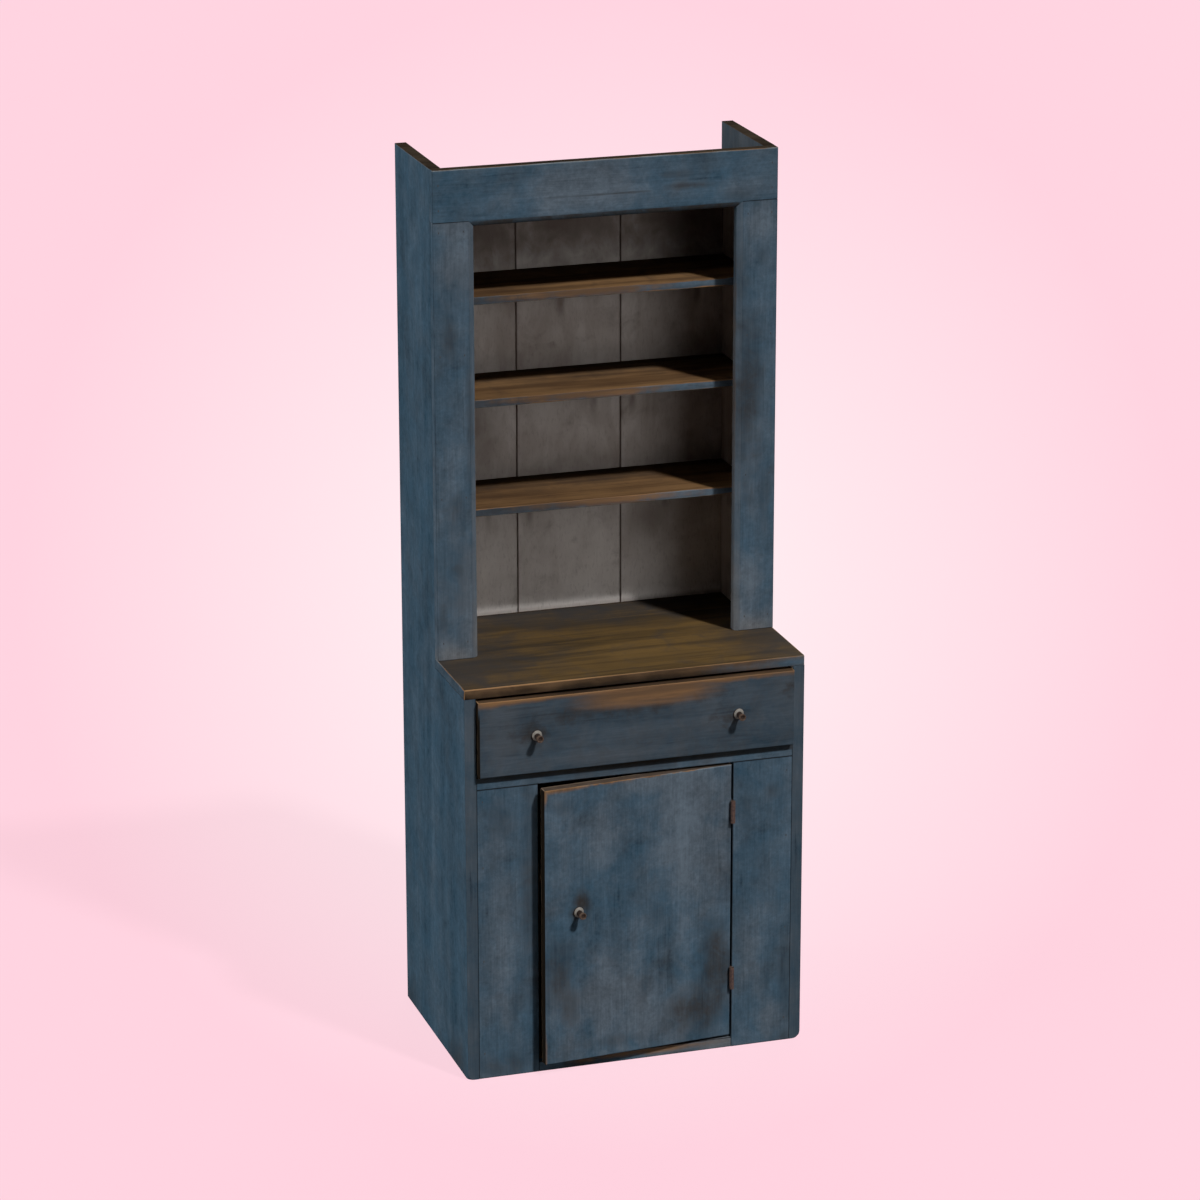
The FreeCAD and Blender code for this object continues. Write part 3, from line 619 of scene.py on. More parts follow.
def iron_material(name, dark, rusty):
    """Rusted iron in two tones."""
    material = bpy.data.materials.new(name)
    tree = empty_tree(material)
    here = tree.add("TexCoord").outputs["Object"]
    rust = tree.noise(here, 180, 5, 0.65)
    pits = tree.noise(here, 900, 3, 0.6)
    relief = tree.first("Bump", {
        "Strength": 0.5, "Distance": 0.3 * MM, "Height": tree.plus(rust, tree.times(pits, 0.5))})
    shader = tree.first("BsdfPrincipled", {
        "Base Color": tree.mix(tree.fade(rust, 0.35, 0.68), dark, rusty),
        "Metallic": tree.fade(rust, 0.3, 0.6, 0.55, 0.1),
        "Roughness": tree.fade(rust, 0.35, 0.65, 0.48, 0.8), "Normal": relief})
    tree.add("OutputMaterial", {"Surface": shader})
    return material


# ---------------------------------------------------------------- modelling helpers
def select_only(*pieces):
    """Selects the pieces alone, and makes the first of them active."""
    bpy.ops.object.select_all(action="DESELECT")
    for piece in pieces:
        piece.select_set(True)
    bpy.context.view_layer.objects.active = pieces[0]


def edit(piece):
    """Edit mode on one piece, with all of it selected."""
    select_only(piece)
    bpy.ops.object.mode_set(mode="EDIT")
    bpy.ops.mesh.select_all(action="SELECT")


def leave_edit():
    bpy.ops.object.mode_set(mode="OBJECT")


def settle(piece):
    """The piece's place goes into its mesh, and its object sits at the origin."""
    select_only(piece)
    bpy.ops.object.transform_apply(location=True, rotation=True, scale=True)


def primitive(add, name, **options):
    """A settled mesh, started by one of the operators that add a simple shape."""
    bpy.ops.object.select_all(action="DESELECT")
    add(**options)
    piece = bpy.context.object
    piece.name = name
    settle(piece)
    return piece


def apply_modifier(piece, kind, **options):
    select_only(piece)
    modifier = piece.modifiers.new(kind.title(), kind)
    for name, value in options.items():
        setattr(modifier, name, value)
    bpy.ops.object.modifier_apply(modifier=modifier.name)


def copied(piece, name, matrix=None):
    """Another of the same piece, with its own mesh, moved by a matrix where one is given."""
    twin = bpy.data.objects.new(name, piece.data.copy())
    bpy.context.scene.collection.objects.link(twin)
    if matrix is not None:
        twin.data.transform(matrix)
    return twin


def joined(pieces, name):
    select_only(*pieces)
    bpy.ops.object.join()
    whole = bpy.context.object
    whole.name = name
    return whole


def dress(piece, material, body, slot, *nodes):
    """Gives a finished piece its material, its body and what it stands for."""
    piece.data.materials.clear()
    piece.data.materials.append(material)
    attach(piece, body)
    if nodes:
        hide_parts(*nodes)


def dress_board(node, material, body, slot, arris, segments=2):
    """Stands a board with eased arrises in for its CAD node."""
    piece = copied(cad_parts[node], "worn_" + node)
    select_only(piece)
    bpy.ops.mesh.customdata_custom_splitnormals_clear()
    edit(piece)
    bpy.ops.mesh.remove_doubles(threshold=0.01 * MM)
    bpy.ops.mesh.dissolve_limited(angle_limit=math.radians(1.0))
    leave_edit()
    apply_modifier(piece, "BEVEL", width=arris, segments=segments, limit_method="ANGLE",
                   angle_limit=math.radians(40), use_clamp_overlap=True, miter_outer="MITER_SHARP")
    bpy.ops.object.shade_smooth_by_angle(angle=math.radians(35))
    apply_modifier(piece, "WEIGHTED_NORMAL", keep_sharp=True, weight=100)
    dress(piece, material, body, slot, node)


def spun_piece(name, profile, centre, axis, steps):
    """A turned piece: a vertex drawn out along (radius, depth) points, then spun about an axis."""
    centre = Vector(centre)
    axis = Vector(axis).normalized()
    out = axis.orthogonal().normalized()
    start = centre + out * profile[0][0] + axis * profile[0][1]
    piece = primitive(bpy.ops.mesh.primitive_plane_add, name, size=MM, location=start)
    edit(piece)
    bpy.ops.mesh.merge(type="CENTER")
    for before, after in zip(profile, profile[1:]):
        step = out * (after[0] - before[0]) + axis * (after[1] - before[1])
        bpy.ops.mesh.extrude_region_move(TRANSFORM_OT_translate={"value": step})
    bpy.ops.mesh.select_all(action="SELECT")
    bpy.ops.mesh.spin(steps=steps, angle=math.tau, center=centre, axis=axis, use_auto_merge=True)
    bpy.ops.mesh.select_all(action="SELECT")
    bpy.ops.mesh.remove_doubles(threshold=0.02 * MM)
    bpy.ops.mesh.normals_make_consistent(inside=False)
    leave_edit()
    return piece


# ---------------------------------------------------------------- boards
class CUPBOARD_OT_sides(bpy.types.Operator):
    """Paint the two side boards, stepped back above the counter and bare inside"""
    bl_idname = "cupboard.sides"
    bl_label = "Side Boards"

    def execute(self, context):
        # The rack's outside, open downwards, whose arrises the wear follows
        rack = Vector((LEFT_X, RACK_FRONT, COUNTER_TOP - 1)), Vector((RIGHT_X, BACK_PLANE, TOP_Z))
        for node, side in (("side_left", 1.0), ("side_right", -1.0)):
            board = BoardMaterial("paint", node)
            tree, half = board.tree, board.half
            sill = COUNTER_UNDER - board.middle.z
            in_rack = board.reached("Z", sill - 1 * MM, sill)
            # Darker at the foot along the whole depth: painted shade
            paint = board.paint(
                tree.blend(in_rack, 1.0, board.arris(box=rack)), greyness=-0.09, mottle=0.6, reach=0.10,
                dirts=[(0, -half.z, 0.2, 0.10, 0.6, -0.15, 0.12),
                       (0, -half.z, 0.2, 0.08, 0.5, 0.20, 0.10)])
            edge = board.paint(seam=tree.plus(board.arris(), 1.5 * MM), mottle=1.1, haze_and_painted_shade=[0.44])
            paint = board.covered(board.near("Y", 1.4, 0.7), paint, edge)
            inward = tree.times(board.coordinate("X"), side)
            inside = tree.fade(inward, half.x - 1.2 * MM, half.x - 0.6 * MM)
            inside = tree.times(inside, board.near("Y", 3, 4))
            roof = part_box("top_board")[1].z - board.middle.z
            gloomy = board.paint(greyness=0.06, haze_and_painted_shade=[0.55])
            lining = board.covered(board.reached("Z", roof, roof - 2 * MM), gloomy, board.weathered())
            finish = board.covered(inside, paint, lining)
            board.dress(board.covered(board.far("Z", 0.9, 0.3), finish, board.sooty()))
        return {"FINISHED"}


class CUPBOARD_OT_rack_frame(bpy.types.Operator):
    """Paint the frieze and the two upper stiles"""
    bl_idname = "cupboard.rack_frame"
    bl_label = "Rack Face Frame"

    # Each board, which way its chamfer lies, and the sides along which no joint is dark
    BOARDS = (
        ("frieze_board", 0, "-x +x +z"), ("upper_stile_left", 1, "-x"), ("upper_stile_right", -1, "+x"))

    def frieze(self, board):
        """Distance from the chamfer's line, and the frieze's marks."""
        tree = board.tree
        beyond = tree.minus(tree.size(board.coordinate("X")), board.half.x - STILE_WIDTH)
        inward = tree.plus(board.coordinate("Z"), board.half.z)
        # Painted shade on the chamfer along the frieze's lower edge
        shade = tree.times(tree.fade(inward, CHAMFER, CHAMFER * 0.8), tree.fade(beyond, CHAMFER, 0.0))
        marks = dict(RACK_SPOTS[board.node], greyness=-0.08, chalky=0.9, haze_and_painted_shade=[shade])
        return tree.larger(tree.size(tree.minus(inward, CHAMFER)), beyond), marks

    def stile(self, board, side):
        """Distance from the chamfer's line, and a stile's marks."""
        tree, half = board.tree, board.half
        inward = tree.minus(half.x, tree.times(board.coordinate("X"), side))
        eased = tree.fade(inward, CHAMFER, CHAMFER - 1 * MM)
        marks = dict(
            RACK_SPOTS[board.node],
            wears=[(side * half.x, 0.0, 0.003, 0.5, 0.35)],
            dusts=[(0, -half.z, 0.07, 0.035, 0.5), (0.042 * side, 0.04 - half.z, 0.016, 0.13, 0.5)],
            greyness=tree.times(eased, 0.10), haze_and_painted_shade=[tree.times(eased, 0.30)])
        marks["greys"] = marks["greys"] + [(0, -half.z, 0.06, 0.05, 1.0)]
        if side == 1:
            marks["greys"].append((0.01, half.z, 0.06, 0.06, 1.4))
        return tree.size(tree.minus(inward, CHAMFER)), marks

    def execute(self, context):
        for node, side, past in self.BOARDS:
            board = BoardMaterial("paint", node, "Z" if side else "X")
            tree = board.tree
            line, marks = self.stile(board, side) if side else self.frieze(board)
            joints = board.arris(past)
            corner = tree.plus(board.arris("+z"), 0.9 * MM)
            seam = tree.smaller(corner, tree.smaller(joints, tree.plus(line, 1.45 * MM)))
            worn = 1.0 if side else board.arris("-x -z +x")
            paint = board.paint(worn, seam, reach=0.25, mottle=0.9, **marks)
            across = tree.size(board.coordinate("X"))
            between = tree.fade(across, board.half.x - 0.7 * MM, board.half.x - 1.4 * MM)
            behind = tree.times(board.far("Y", 1.5, 0.8), between)
            finish = board.covered(behind, paint, board.pine())
            if not side:
                finish = board.covered(board.far("Z", 0.2, 0.05), finish, board.sooty())
            board.dress(finish)
        return {"FINISHED"}


class CUPBOARD_OT_base_frame(bpy.types.Operator):
    """Paint the lower stiles, the rail and the bottom board's edge"""
    bl_idname = "cupboard.base_frame"
    bl_label = "Base Face Frame"

    def execute(self, context):
        for node, spots in BASE_SPOTS.items():
            upright = node.startswith("lower_stile")
            board = BoardMaterial("paint", node, "Z" if upright else "X")
            paint = board.paint(seam=board.arris(), mottle=0.95, greyness=-0.02, **spots)
            if node == "drawer_rail":
                # Painted shadow of the drawer front: the rail's top is covered with dark brown wood
                rubbed = board.tree.times(board.reached("Z", -1 * MM, 3 * MM), 0.62)
                paint = board.covered(rubbed, paint, board.sooty())
            finish = board.covered(board.near("Y", 16, 18), paint, board.pine())
            board.dress(finish, slot="bare_pine" if node == "bottom_board" else "blue_paint")
        return {"FINISHED"}


class CUPBOARD_OT_shelves(bpy.types.Operator):
    """Finish the three rack shelves in worn brown wood with painted front edges"""
    bl_idname = "cupboard.shelves"
    bl_label = "Rack Shelves"

    def execute(self, context):
        wood = settings().wood
        for index, node in enumerate(SHELVES):
            board = BoardMaterial("wood", node, "X", shift=SHELF_STEP * index)
            half, edge = board.half, (-board.half.y, 0.02)
            # Painted shadow over the back of each shelf; the spot at its left end darkens it too
            top = board.wood(
                wood.shelf_dark, wood.shelf_light, (0.24, 0.14, 0.075), (0.030, 0.024, 0.020),
                dirts=[(0, 0, 0.6, 0.05, 0.75, half.y, 0.12),
                       (-half.x, 0, 0.12, 0.05, 0.35, -0.05, 0.2)],
                reach=2.5 * MM, patchy=0.2)
            painted = board.paint(
                board.arris(), greyness=0.09, mottle=0.8, reach=0.6,
                wears=[(-0.04 + 0.03 * index, 0.003, 0.24, 0.014, 0.8, *edge)],
                dirts=[(0.05, -half.z, 0.3, 0.01, 0.6, *edge), (-0.16, 0, 0.30, 0.03, 0.75, *edge)])
            finish = board.covered(board.near("Y", 1.6, 0.8), top, painted)
            board.dress(finish, slot="worn_brown_wood", arris=settings().sizes.worn_arris)
        return {"FINISHED"}


class CUPBOARD_OT_counter(bpy.types.Operator):
    """Finish the counter in brown wood rubbed gold in the middle, its edges painted"""
    bl_idname = "cupboard.counter"
    bl_label = "Counter"

    def execute(self, context):
        wood = settings().wood
        board = BoardMaterial("wood", "counter_board", "X")
        tree, half, edge = board.tree, board.half, (-board.half.y, 0.02)
        arris = board.arris("-x -z")
        # Painted shade along the back and at the right end, where the right stile's shadow falls; dirt
        # at the left end
        top = board.wood(
            wood.counter_dark, wood.counter_gold, (0.27, 0.15, 0.07), (0.034, 0.033, 0.034),
            dirts=[(0, 0, 0.6, 0.1, 0.9, half.y, 0.17), (-half.x, 0, 0.26, 0.1, 0.9, 0, 0.42),
                   (half.x, 0, 0.16, 0.1, 0.8, -0.1, 0.3)], reach=3.0 * MM, patchy=0.15, arris=arris)
        paint = board.paint(arris, greyness=0.02, dirts=[(0, -half.z, 0.5, 0.012, 0.6, *edge)])
        brown = board.wood(
            *COUNTER_EDGE, arris=arris,
            dirts=[(0, -half.z, 0.5, 0.015, 0.9, *edge), (-half.x, -half.z, 0.09, 0.016, 1.0, *edge),
                   (-0.22, -0.004, 0.05, 0.012, 0.7, *edge)])
        painted = board.spot(half.x, -half.z * 0.3, 0.20, 0.015, 1.0, -half.y, 0.05)
        left_paint = board.paint(
            board.arris("-z"), greyness=-0.02, mottle=0.8, reach=0.45, chalky=0.8,
            dirts=[(-half.x, -half.z, 0.02, 0.03, 0.8, -half.y, 0.04)])
        rim = board.covered(painted, brown, paint)
        rim = board.covered(board.near("X", 1.4, 0.7), rim, left_paint)
        ends = tree.fade(tree.size(board.coordinate("X")), half.x - 1.4 * MM, half.x - 0.7 * MM)
        finish = board.covered(tree.larger(board.near("Y", 1.6, 0.8), ends), top, rim)
        board.dress(finish, slot="worn_brown_wood", arris=settings().sizes.worn_arris)
        return {"FINISHED"}


class CUPBOARD_OT_back_boards(bpy.types.Operator):
    """Finish the upright back boards in weathered grey wood, with painted shade in the top bay and
    under the shelves, and a painted band of light at the foot
    """
    bl_idname = "cupboard.back_boards"
    bl_label = "Back Boards"

    # The nails go into the middle of a shelf, this far above its underside
    NAIL_RISE = 9 * MM

    def execute(self, context):
        for index, node in enumerate(BACK_BOARDS):
            board = BoardMaterial("wood", node, squeeze=0.3, shift=BACK_STEP * index)
            middle, half = board.middle.z, board.half
            foot = COUNTER_TOP - middle
            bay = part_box("shelf_upper")[1].z - middle
            # Painted shade in the top bay under the frieze, under each shelf and along the foot; the
            # narrow drips and the single spots on the left and right boards are stains
            dirts = [(0, bay + 0.09, 0.5, 0.12, 0.85), (0, foot, 0.5, 0.010, 0.5)]
            for place, shelf in enumerate(SHELVES):
                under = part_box(shelf)[0].z - middle
                drip = -0.09 + 0.07 * ((index + place) % 3)
                dirts += [(0.03 * (index - 1), under - 0.01, 0.16, 0.035, 0.55),
                          (0, under, 0.6, 0.075, 0.40), (drip, under - 0.05, 0.012, 0.05, 0.6)]
            if index == 0:
                dirts.append((0.02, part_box("shelf_middle")[0].z - middle - 0.10, 0.08, 0.13, 0.45))
            if index == 2:
                dirts.append((-0.06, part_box("shelf_lower")[0].z - middle - 0.10, 0.08, 0.10, 0.40))
            # Painted light: a pale band at the foot of each back board, just above the counter, where
            # the key lamp's light reaches the back
            pale = board.most([(0, foot, 0.5, 0.050, 0.9), (0, foot + 0.06, 0.5, 0.18, 0.45)])
            seam = board.arris()
            inside = board.weathered(dirts=dirts, seam=seam, pale=pale)
            look, roughness, height = board.aged(seam)
            nailed_to = [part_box(piece)[0].z for piece in SHELVES + ("base_shelf", "bottom_board")]
            heights = [level - middle + self.NAIL_RISE for level in nailed_to + [COUNTER_UNDER]]
            heights.append(half.z - self.NAIL_RISE)
            nailed = board.nail_marks(half.x * 0.64, heights)
            aged = (board.tree.mix(nailed, look, NAIL_MARK_TONE), roughness, height)
            outside = board.most((), [board.reached("Y", 0.0, 1 * MM), board.far("Z", 1.5, 0.8)])
            finish = board.covered(outside, inside, aged)
            board.dress(finish, slot="grey_back_wood", arris=0.5 * MM, segments=1)
        return {"FINISHED"}


class CUPBOARD_OT_inner_boards(bpy.types.Operator):
    """Finish the unpainted boards inside the case, the drawer and the door"""
    bl_idname = "cupboard.inner_boards"
    bl_label = "Inner Boards"

    def execute(self, context):
        drawer_box = DRAWER_SIDES + ("drawer_back", "drawer_bottom")
        groups = (
            (INNER_BOARDS, "case", 0.0), (drawer_box, "drawer", 0.0), (BATTENS, "door", DOOR_AJAR))
        for nodes, body, turn in groups:
            for index, node in enumerate(nodes):
                low, high = own_box(node, turn)
                along = max("XYZ", key=lambda axis: (high - low)["XYZ".index(axis)])
                board = BoardMaterial("pine", node, along, turn, shift=PINE_STEP * index)
                finish = board.pine()
                if node in DRAWER_SIDES:
                    finish = board.covered(board.near("Y", 32, 12), finish, board.sooty())
                board.dress(finish, body, "bare_pine", 0.5 * MM, 1)
        return {"FINISHED"}


class CUPBOARD_OT_drawer_front(bpy.types.Operator):
    """Paint the drawer front, rubbed bare along its top"""
    bl_idname = "cupboard.drawer_front"
    bl_label = "Drawer Front"

    def execute(self, context):
        board = BoardMaterial("paint", "drawer_front", "X")
        tree, half = board.tree, board.half
        halos = []
        for side in ("left", "right"):
            grip = sum(own_box("drawer_knob_" + side), Vector()) / 2 - board.middle
            halos.append((grip.x - 0.012, grip.z + 0.004, 0.080, 0.058, 0.95))
        sideways = tree.size(tree.minus(board.coordinate("X"), 0.020))
        patch = tree.times(tree.fade(sideways, 0.225, 0.04), board.far("Z", 64, 8))
        paint = board.paint(
            board.arris("-x -z +x"), mottle=1.2, reach=0.6, rubs=[patch], haze_and_painted_shade=[0.54],
            wears=[(0, half.z, 1.2, 0.012, 0.9), (-half.x, half.z, 0.05, 0.020, 0.6)],
            dirts=halos + [
                (0.02, 0.05, 0.34, 0.055, 0.85), (half.x, 0.05, 0.06, 0.06, 0.8),
                (-0.15, 0.035, 0.14, 0.05, 0.8), (-0.14, -0.03, 0.12, 0.04, 0.55),
                (0.02, -half.z, 0.4, 0.012, 0.6)],
            greys=[(-0.05, -0.06, 0.2, 0.02, 0.8), (-0.285, 0.0, 0.05, 0.08, 1.2)])
        free_end = tree.times(board.near("X", 3.4, 2.4), board.far("Z", 10, 40))
        edges = tree.larger(free_end, board.near("Y", 1.0, 2.0))
        board.dress(board.framed(paint, edges, DRAWER_TOP), "drawer", arris=0.7 * MM)
        return {"FINISHED"}


class CUPBOARD_OT_door_board(bpy.types.Operator):
    """Paint the door, worn at its free edge and smudged where it is handled"""
    bl_idname = "cupboard.door_board"
    bl_label = "Door"

    def execute(self, context):
        board = BoardMaterial("paint", "door_board", turn=DOOR_AJAR)
        grip = sum(own_box("door_knob", DOOR_AJAR), Vector()) / 2 - board.middle
        free, hung, foot, head = -board.half.x, board.half.x, -board.half.z, board.half.z
        paint = board.paint(
            board.arris("-x -z +x"), greyness=-0.03, mottle=1.1, reach=0.8,
            wears=[(free, head, 0.26, 0.010, 0.85), (free, head, 0.008, 0.045, 0.85),
                   (free, foot, 0.006, 0.10, 0.6)],
            dirts=[(grip.x + 0.008, grip.z + 0.020, 0.028, 0.042, 1.0),
                   (grip.x, grip.z, 0.026, 0.024, 1.0),
                   (free + 0.030, -0.10, 0.045, 0.13, 0.62), (free + 0.050, -0.17, 0.04, 0.07, 0.55),
                   (free + 0.040, head - 0.04, 0.04, 0.03, 0.4),
                   # Painted shade and dirt, darker towards the foot on the hinged side
                   (hung - 0.03, foot + 0.15, 0.05, 0.13, 0.8),
                   (hung - 0.07, foot + 0.07, 0.09, 0.07, 0.85), (0.04, head - 0.30, 0.03, 0.05, 0.35),
                   (-0.06, foot + 0.03, 0.12, 0.02, 0.4)],
            greys=[(0.12, head - 0.12, 0.11, 0.18, 1.5), (-0.08, foot + 0.12, 0.11, 0.11, 1.7),
                   (0.02, foot + 0.07, 0.12, 0.08, 1.5), (-0.09, head - 0.10, 0.08, 0.08, 0.8),
                   (0.02, head - 0.01, 0.13, 0.04, 1.4)])
        finish = board.framed(paint, board.near("Y", 1.0, 2.0), DOOR_TOP)
        board.dress(finish, "door", arris=0.8 * MM)
        return {"FINISHED"}


# ---------------------------------------------------------------- knobs and ironwork
class CUPBOARD_OT_knobs(bpy.types.Operator):
    """Turn the three knobs, each with a rose, a waisted neck and a dished head"""
    bl_idname = "cupboard.knobs"
    bl_label = "Turned Knobs"

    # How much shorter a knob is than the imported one, so that its smoothed end stays inside it
    SHORTER = 0.3 * MM

    def knob_profile(self, reach):
        """Radius and height above the face, from the rose's back to the dished end."""
        sizes = settings().sizes
        rose, neck, head = sizes.knob_rose, sizes.knob_neck, sizes.knob_head
        back = [(rose * wide, up * MM) for wide, up in (
            (0.0, 0.05), (0.97, 0.05), (1.0, 0.4), (0.995, 1.6), (0.90, 3.2), (0.74, 4.4), (0.56, 5.3))]
        waist = [(neck * 1.08, 6.4 * MM), (neck, reach * 0.36), (neck * 1.05, reach * 0.54)]
        end = [(head * wide, reach * up) for wide, up in (
            (0.84, 0.72), (0.98, 0.82), (1.0, 0.89), (0.97, 0.955), (0.86, 0.998), (0.72, 0.985),
            (0.52, 0.925), (0.0, 0.905))]
        return back + waist + end

    def knob_material(self, node, face, reach, turn):
        """Greyed wood on the rose, dirt and painted shadow round its rim, a cove and neck dark with
        dirt and painted shade, and dark handled wood towards the end.
        """
        wood, sizes = settings().wood, settings().sizes
        span = Vector([sizes.knob_rose] * 3)
        board = BoardMaterial("wood", node, "Y", turn, box=(face - span, face + span))
        tree = board.tree
        streaks = tree.effect("Board Grain", place=board.grain_place)["Streaks"]
        handled = tree.noise(board.place, 150, 4, 0.6)
        out = tree.times(board.coordinate("Y"), -1.0)
        on_rose = tree.fade(out, 6.2 * MM, 4.8 * MM)
        # Dirt and painted shadow round the rose's rim, reaching higher on the left, where the knob's
        # shadow falls
        rim_dirt_and_shadow = tree.fade(tree.plus(out, tree.times(board.coordinate("X"), 0.14)), 2.2 * MM, 0.9 * MM)
        on_head = tree.fade(out, reach * 0.78, reach * 0.90)
        sideways = tree.vector_math("MULTIPLY", board.place, (1, 0, 1))
        radius = tree.vector_math("LENGTH", sideways, output="Value")
        dish = tree.times(on_head, tree.fade(radius, sizes.knob_head * 0.66, sizes.knob_head * 0.45))
        worn = tree.mix(tree.fade(handled, 0.35, 0.70, 0.0, 0.6), wood.knob_head, wood.knob_neck)
        pale = tree.mix(tree.fade(handled, 0.35, 0.75, 0.0, 0.5), wood.knob_rose, ROSE_DIRT_TONE)
        # The cove and the neck take the neck's dark colour: dirt and painted shade
        look = tree.mix(on_rose, tree.mix(on_head, wood.knob_neck, worn), pale)
        look = tree.mix(tree.larger(rim_dirt_and_shadow, tree.times(dish, 0.75)), look, wood.knob_neck)
        return board.made((look, tree.fade(handled, 0.3, 0.7, 0.45, 0.65), streaks), 0.06)

    def execute(self, context):
        knobs = (("drawer_knob_left", "drawer_front", "drawer", 0.0),
                 ("drawer_knob_right", "drawer_front", "drawer", 0.0),
                 ("door_knob", "door_board", "door", DOOR_AJAR))
        for node, carrier, body, turn in knobs:
            low, high = own_box(node, turn)
            surface = own_box(carrier, turn)[0].y
            reach = surface - low.y - self.SHORTER
            face = Vector(((low.x + high.x) / 2, surface, (low.z + high.z) / 2))
            turned = Matrix.Rotation(turn, 3, "Z")
            outward = turned @ Vector((0, -1, 0))
            knob = spun_piece("turned_" + node, self.knob_profile(reach), turned @ face, outward, 16)
            apply_modifier(knob, "SUBSURF", levels=2, render_levels=2)
            bpy.ops.object.shade_smooth()
            dress(knob, self.knob_material(node, face, reach, turn), body, "turned_knob_wood", node)
        return {"FINISHED"}


class CUPBOARD_OT_hinges(bpy.types.Operator):
    """Ease the hinges' cast leaves and pins and set their slotted screws"""
    bl_idname = "cupboard.hinges"
    bl_label = "Butt Hinges"

    # Each screw's place on a leaf, in from the front and up from the middle, in millimetres, and
    # its slot's turn in degrees
    SCREWS = ((6.0, 15.0, 35), (12.0, 0.0, 85), (6.0, -15.0, 135))
    # How deep a leaf is, in millimetres
    LEAF_DEEP = 18.0

    def slotted_screw(self):
        """A countersunk head in the XY plane, facing +Z, with a slot across it."""
        radius = settings().sizes.screw_head
        profile = [(radius * wide, up * MM) for wide, up in (
            (0.0, -1.2), (0.55, -1.2), (1.0, -0.15), (0.97, 0.0), (0.6, 0.12), (0.0, 0.16))]
        screw = spun_piece("screw", profile, (0, 0, 0), (0, 0, 1), 20)
        cutter = primitive(
            bpy.ops.mesh.primitive_cube_add, "slot", size=1, location=(0, 0, 0),
            scale=(0.7 * MM, 8 * MM, 1.0 * MM))
        apply_modifier(screw, "BOOLEAN", object=cutter, operation="DIFFERENCE", solver="EXACT")
        bpy.data.objects.remove(cutter)
        return screw

    def plate_face(self, leaf, side, turn):
        """X of a leaf's open face: the level that most of its far corner has."""
        places = turned_back(leaf, turn)
        deep = max(place.y for place in places)
        return side * max(side * place.x for place in places if place.y > deep - 0.1 * MM)

    def execute(self, context):
        iron = iron_material("rusty_iron", (0.022, 0.017, 0.015), (0.078, 0.046, 0.030))
        for level in ("upper", "lower"):
            for kind, body in (("case_leaf", "case"), ("door_leaf", "door"), ("pin", "case")):
                dress_board("hinge_" + level + "_" + kind, iron, body, "rusty_iron", 0.25 * MM)
        screw = self.slotted_screw()
        for body, turn, side in (("case", 0.0, -1), ("door", DOOR_AJAR, 1)):
            turned = Matrix.Rotation(turn, 4, "Z")
            face = Matrix.Rotation(math.radians(90 * side), 4, "Y")
            heads = []
            for level in ("upper", "lower"):
                leaf = "hinge_" + level + "_" + body + "_leaf"
                low, high = own_box(leaf, turn)
                plate = self.plate_face(leaf, side, turn)
                for inward, rise, slot in self.SCREWS:
                    y = BASE_FRONT + inward * MM
                    if body == "door":
                        y = high.y - (self.LEAF_DEEP - inward) * MM
                    spot = Vector((plate, y, (low.z + high.z) / 2 + rise * MM))
                    slot_turn = Matrix.Rotation(math.radians(slot), 4, "Z")
                    place = turned @ Matrix.Translation(spot) @ face @ slot_turn
                    heads.append(copied(screw, "head", place))
            dress(joined(heads, "hinge_screws_" + body), iron, body, "rusty_iron")
        bpy.data.objects.remove(screw)
        return {"FINISHED"}


class CUPBOARD_OT_nails(bpy.types.Operator):
    """Set the cut nails that hold the face frames"""
    bl_idname = "cupboard.nails"
    bl_label = "Cut Nails"

    def nail_head(self):
        """A small rectangular head in the XZ plane, facing -Y."""
        long = settings().sizes.nail_long
        head = primitive(
            bpy.ops.mesh.primitive_cube_add, "nail", size=1, location=(0, 0.4 * MM, 0),
            scale=(long * 0.55, 1.1 * MM, long))
        apply_modifier(head, "BEVEL", width=0.3 * MM, segments=2)
        return head

    def places(self):
        """Two rows of nails on each rack stile and one on each base stile, a little uneven."""
        outer, inner, base = (RIGHT_X - inset * MM for inset in (12, 62, 35))
        places = []
        for x in (outer, inner):
            for z in (COUNTER_TOP + 0.03, COUNTER_TOP + 0.33, COUNTER_TOP + 0.62, TOP_Z - 0.13):
                places += [(x, RACK_FRONT, z), (-x, RACK_FRONT, z + 6 * MM)]
        for z in (TOP_Z - 0.03, TOP_Z - 0.08):
            places += [(outer, RACK_FRONT, z), (-outer, RACK_FRONT, z)]
        for z in (0.05, 0.25, 0.45, 0.59):
            places += [(base, BASE_FRONT, z), (-base, BASE_FRONT, z + 4 * MM)]
        return places

    def execute(self, context):
        nail = self.nail_head()
        heads = [copied(nail, "head", Matrix.Translation(Vector(place))) for place in self.places()]
        bpy.data.objects.remove(nail)
        iron = iron_material("painted_iron", (0.024, 0.034, 0.042), (0.045, 0.040, 0.036))
        dress(joined(heads, "cut_nails"), iron, "case", "rusty_iron")
        return {"FINISHED"}


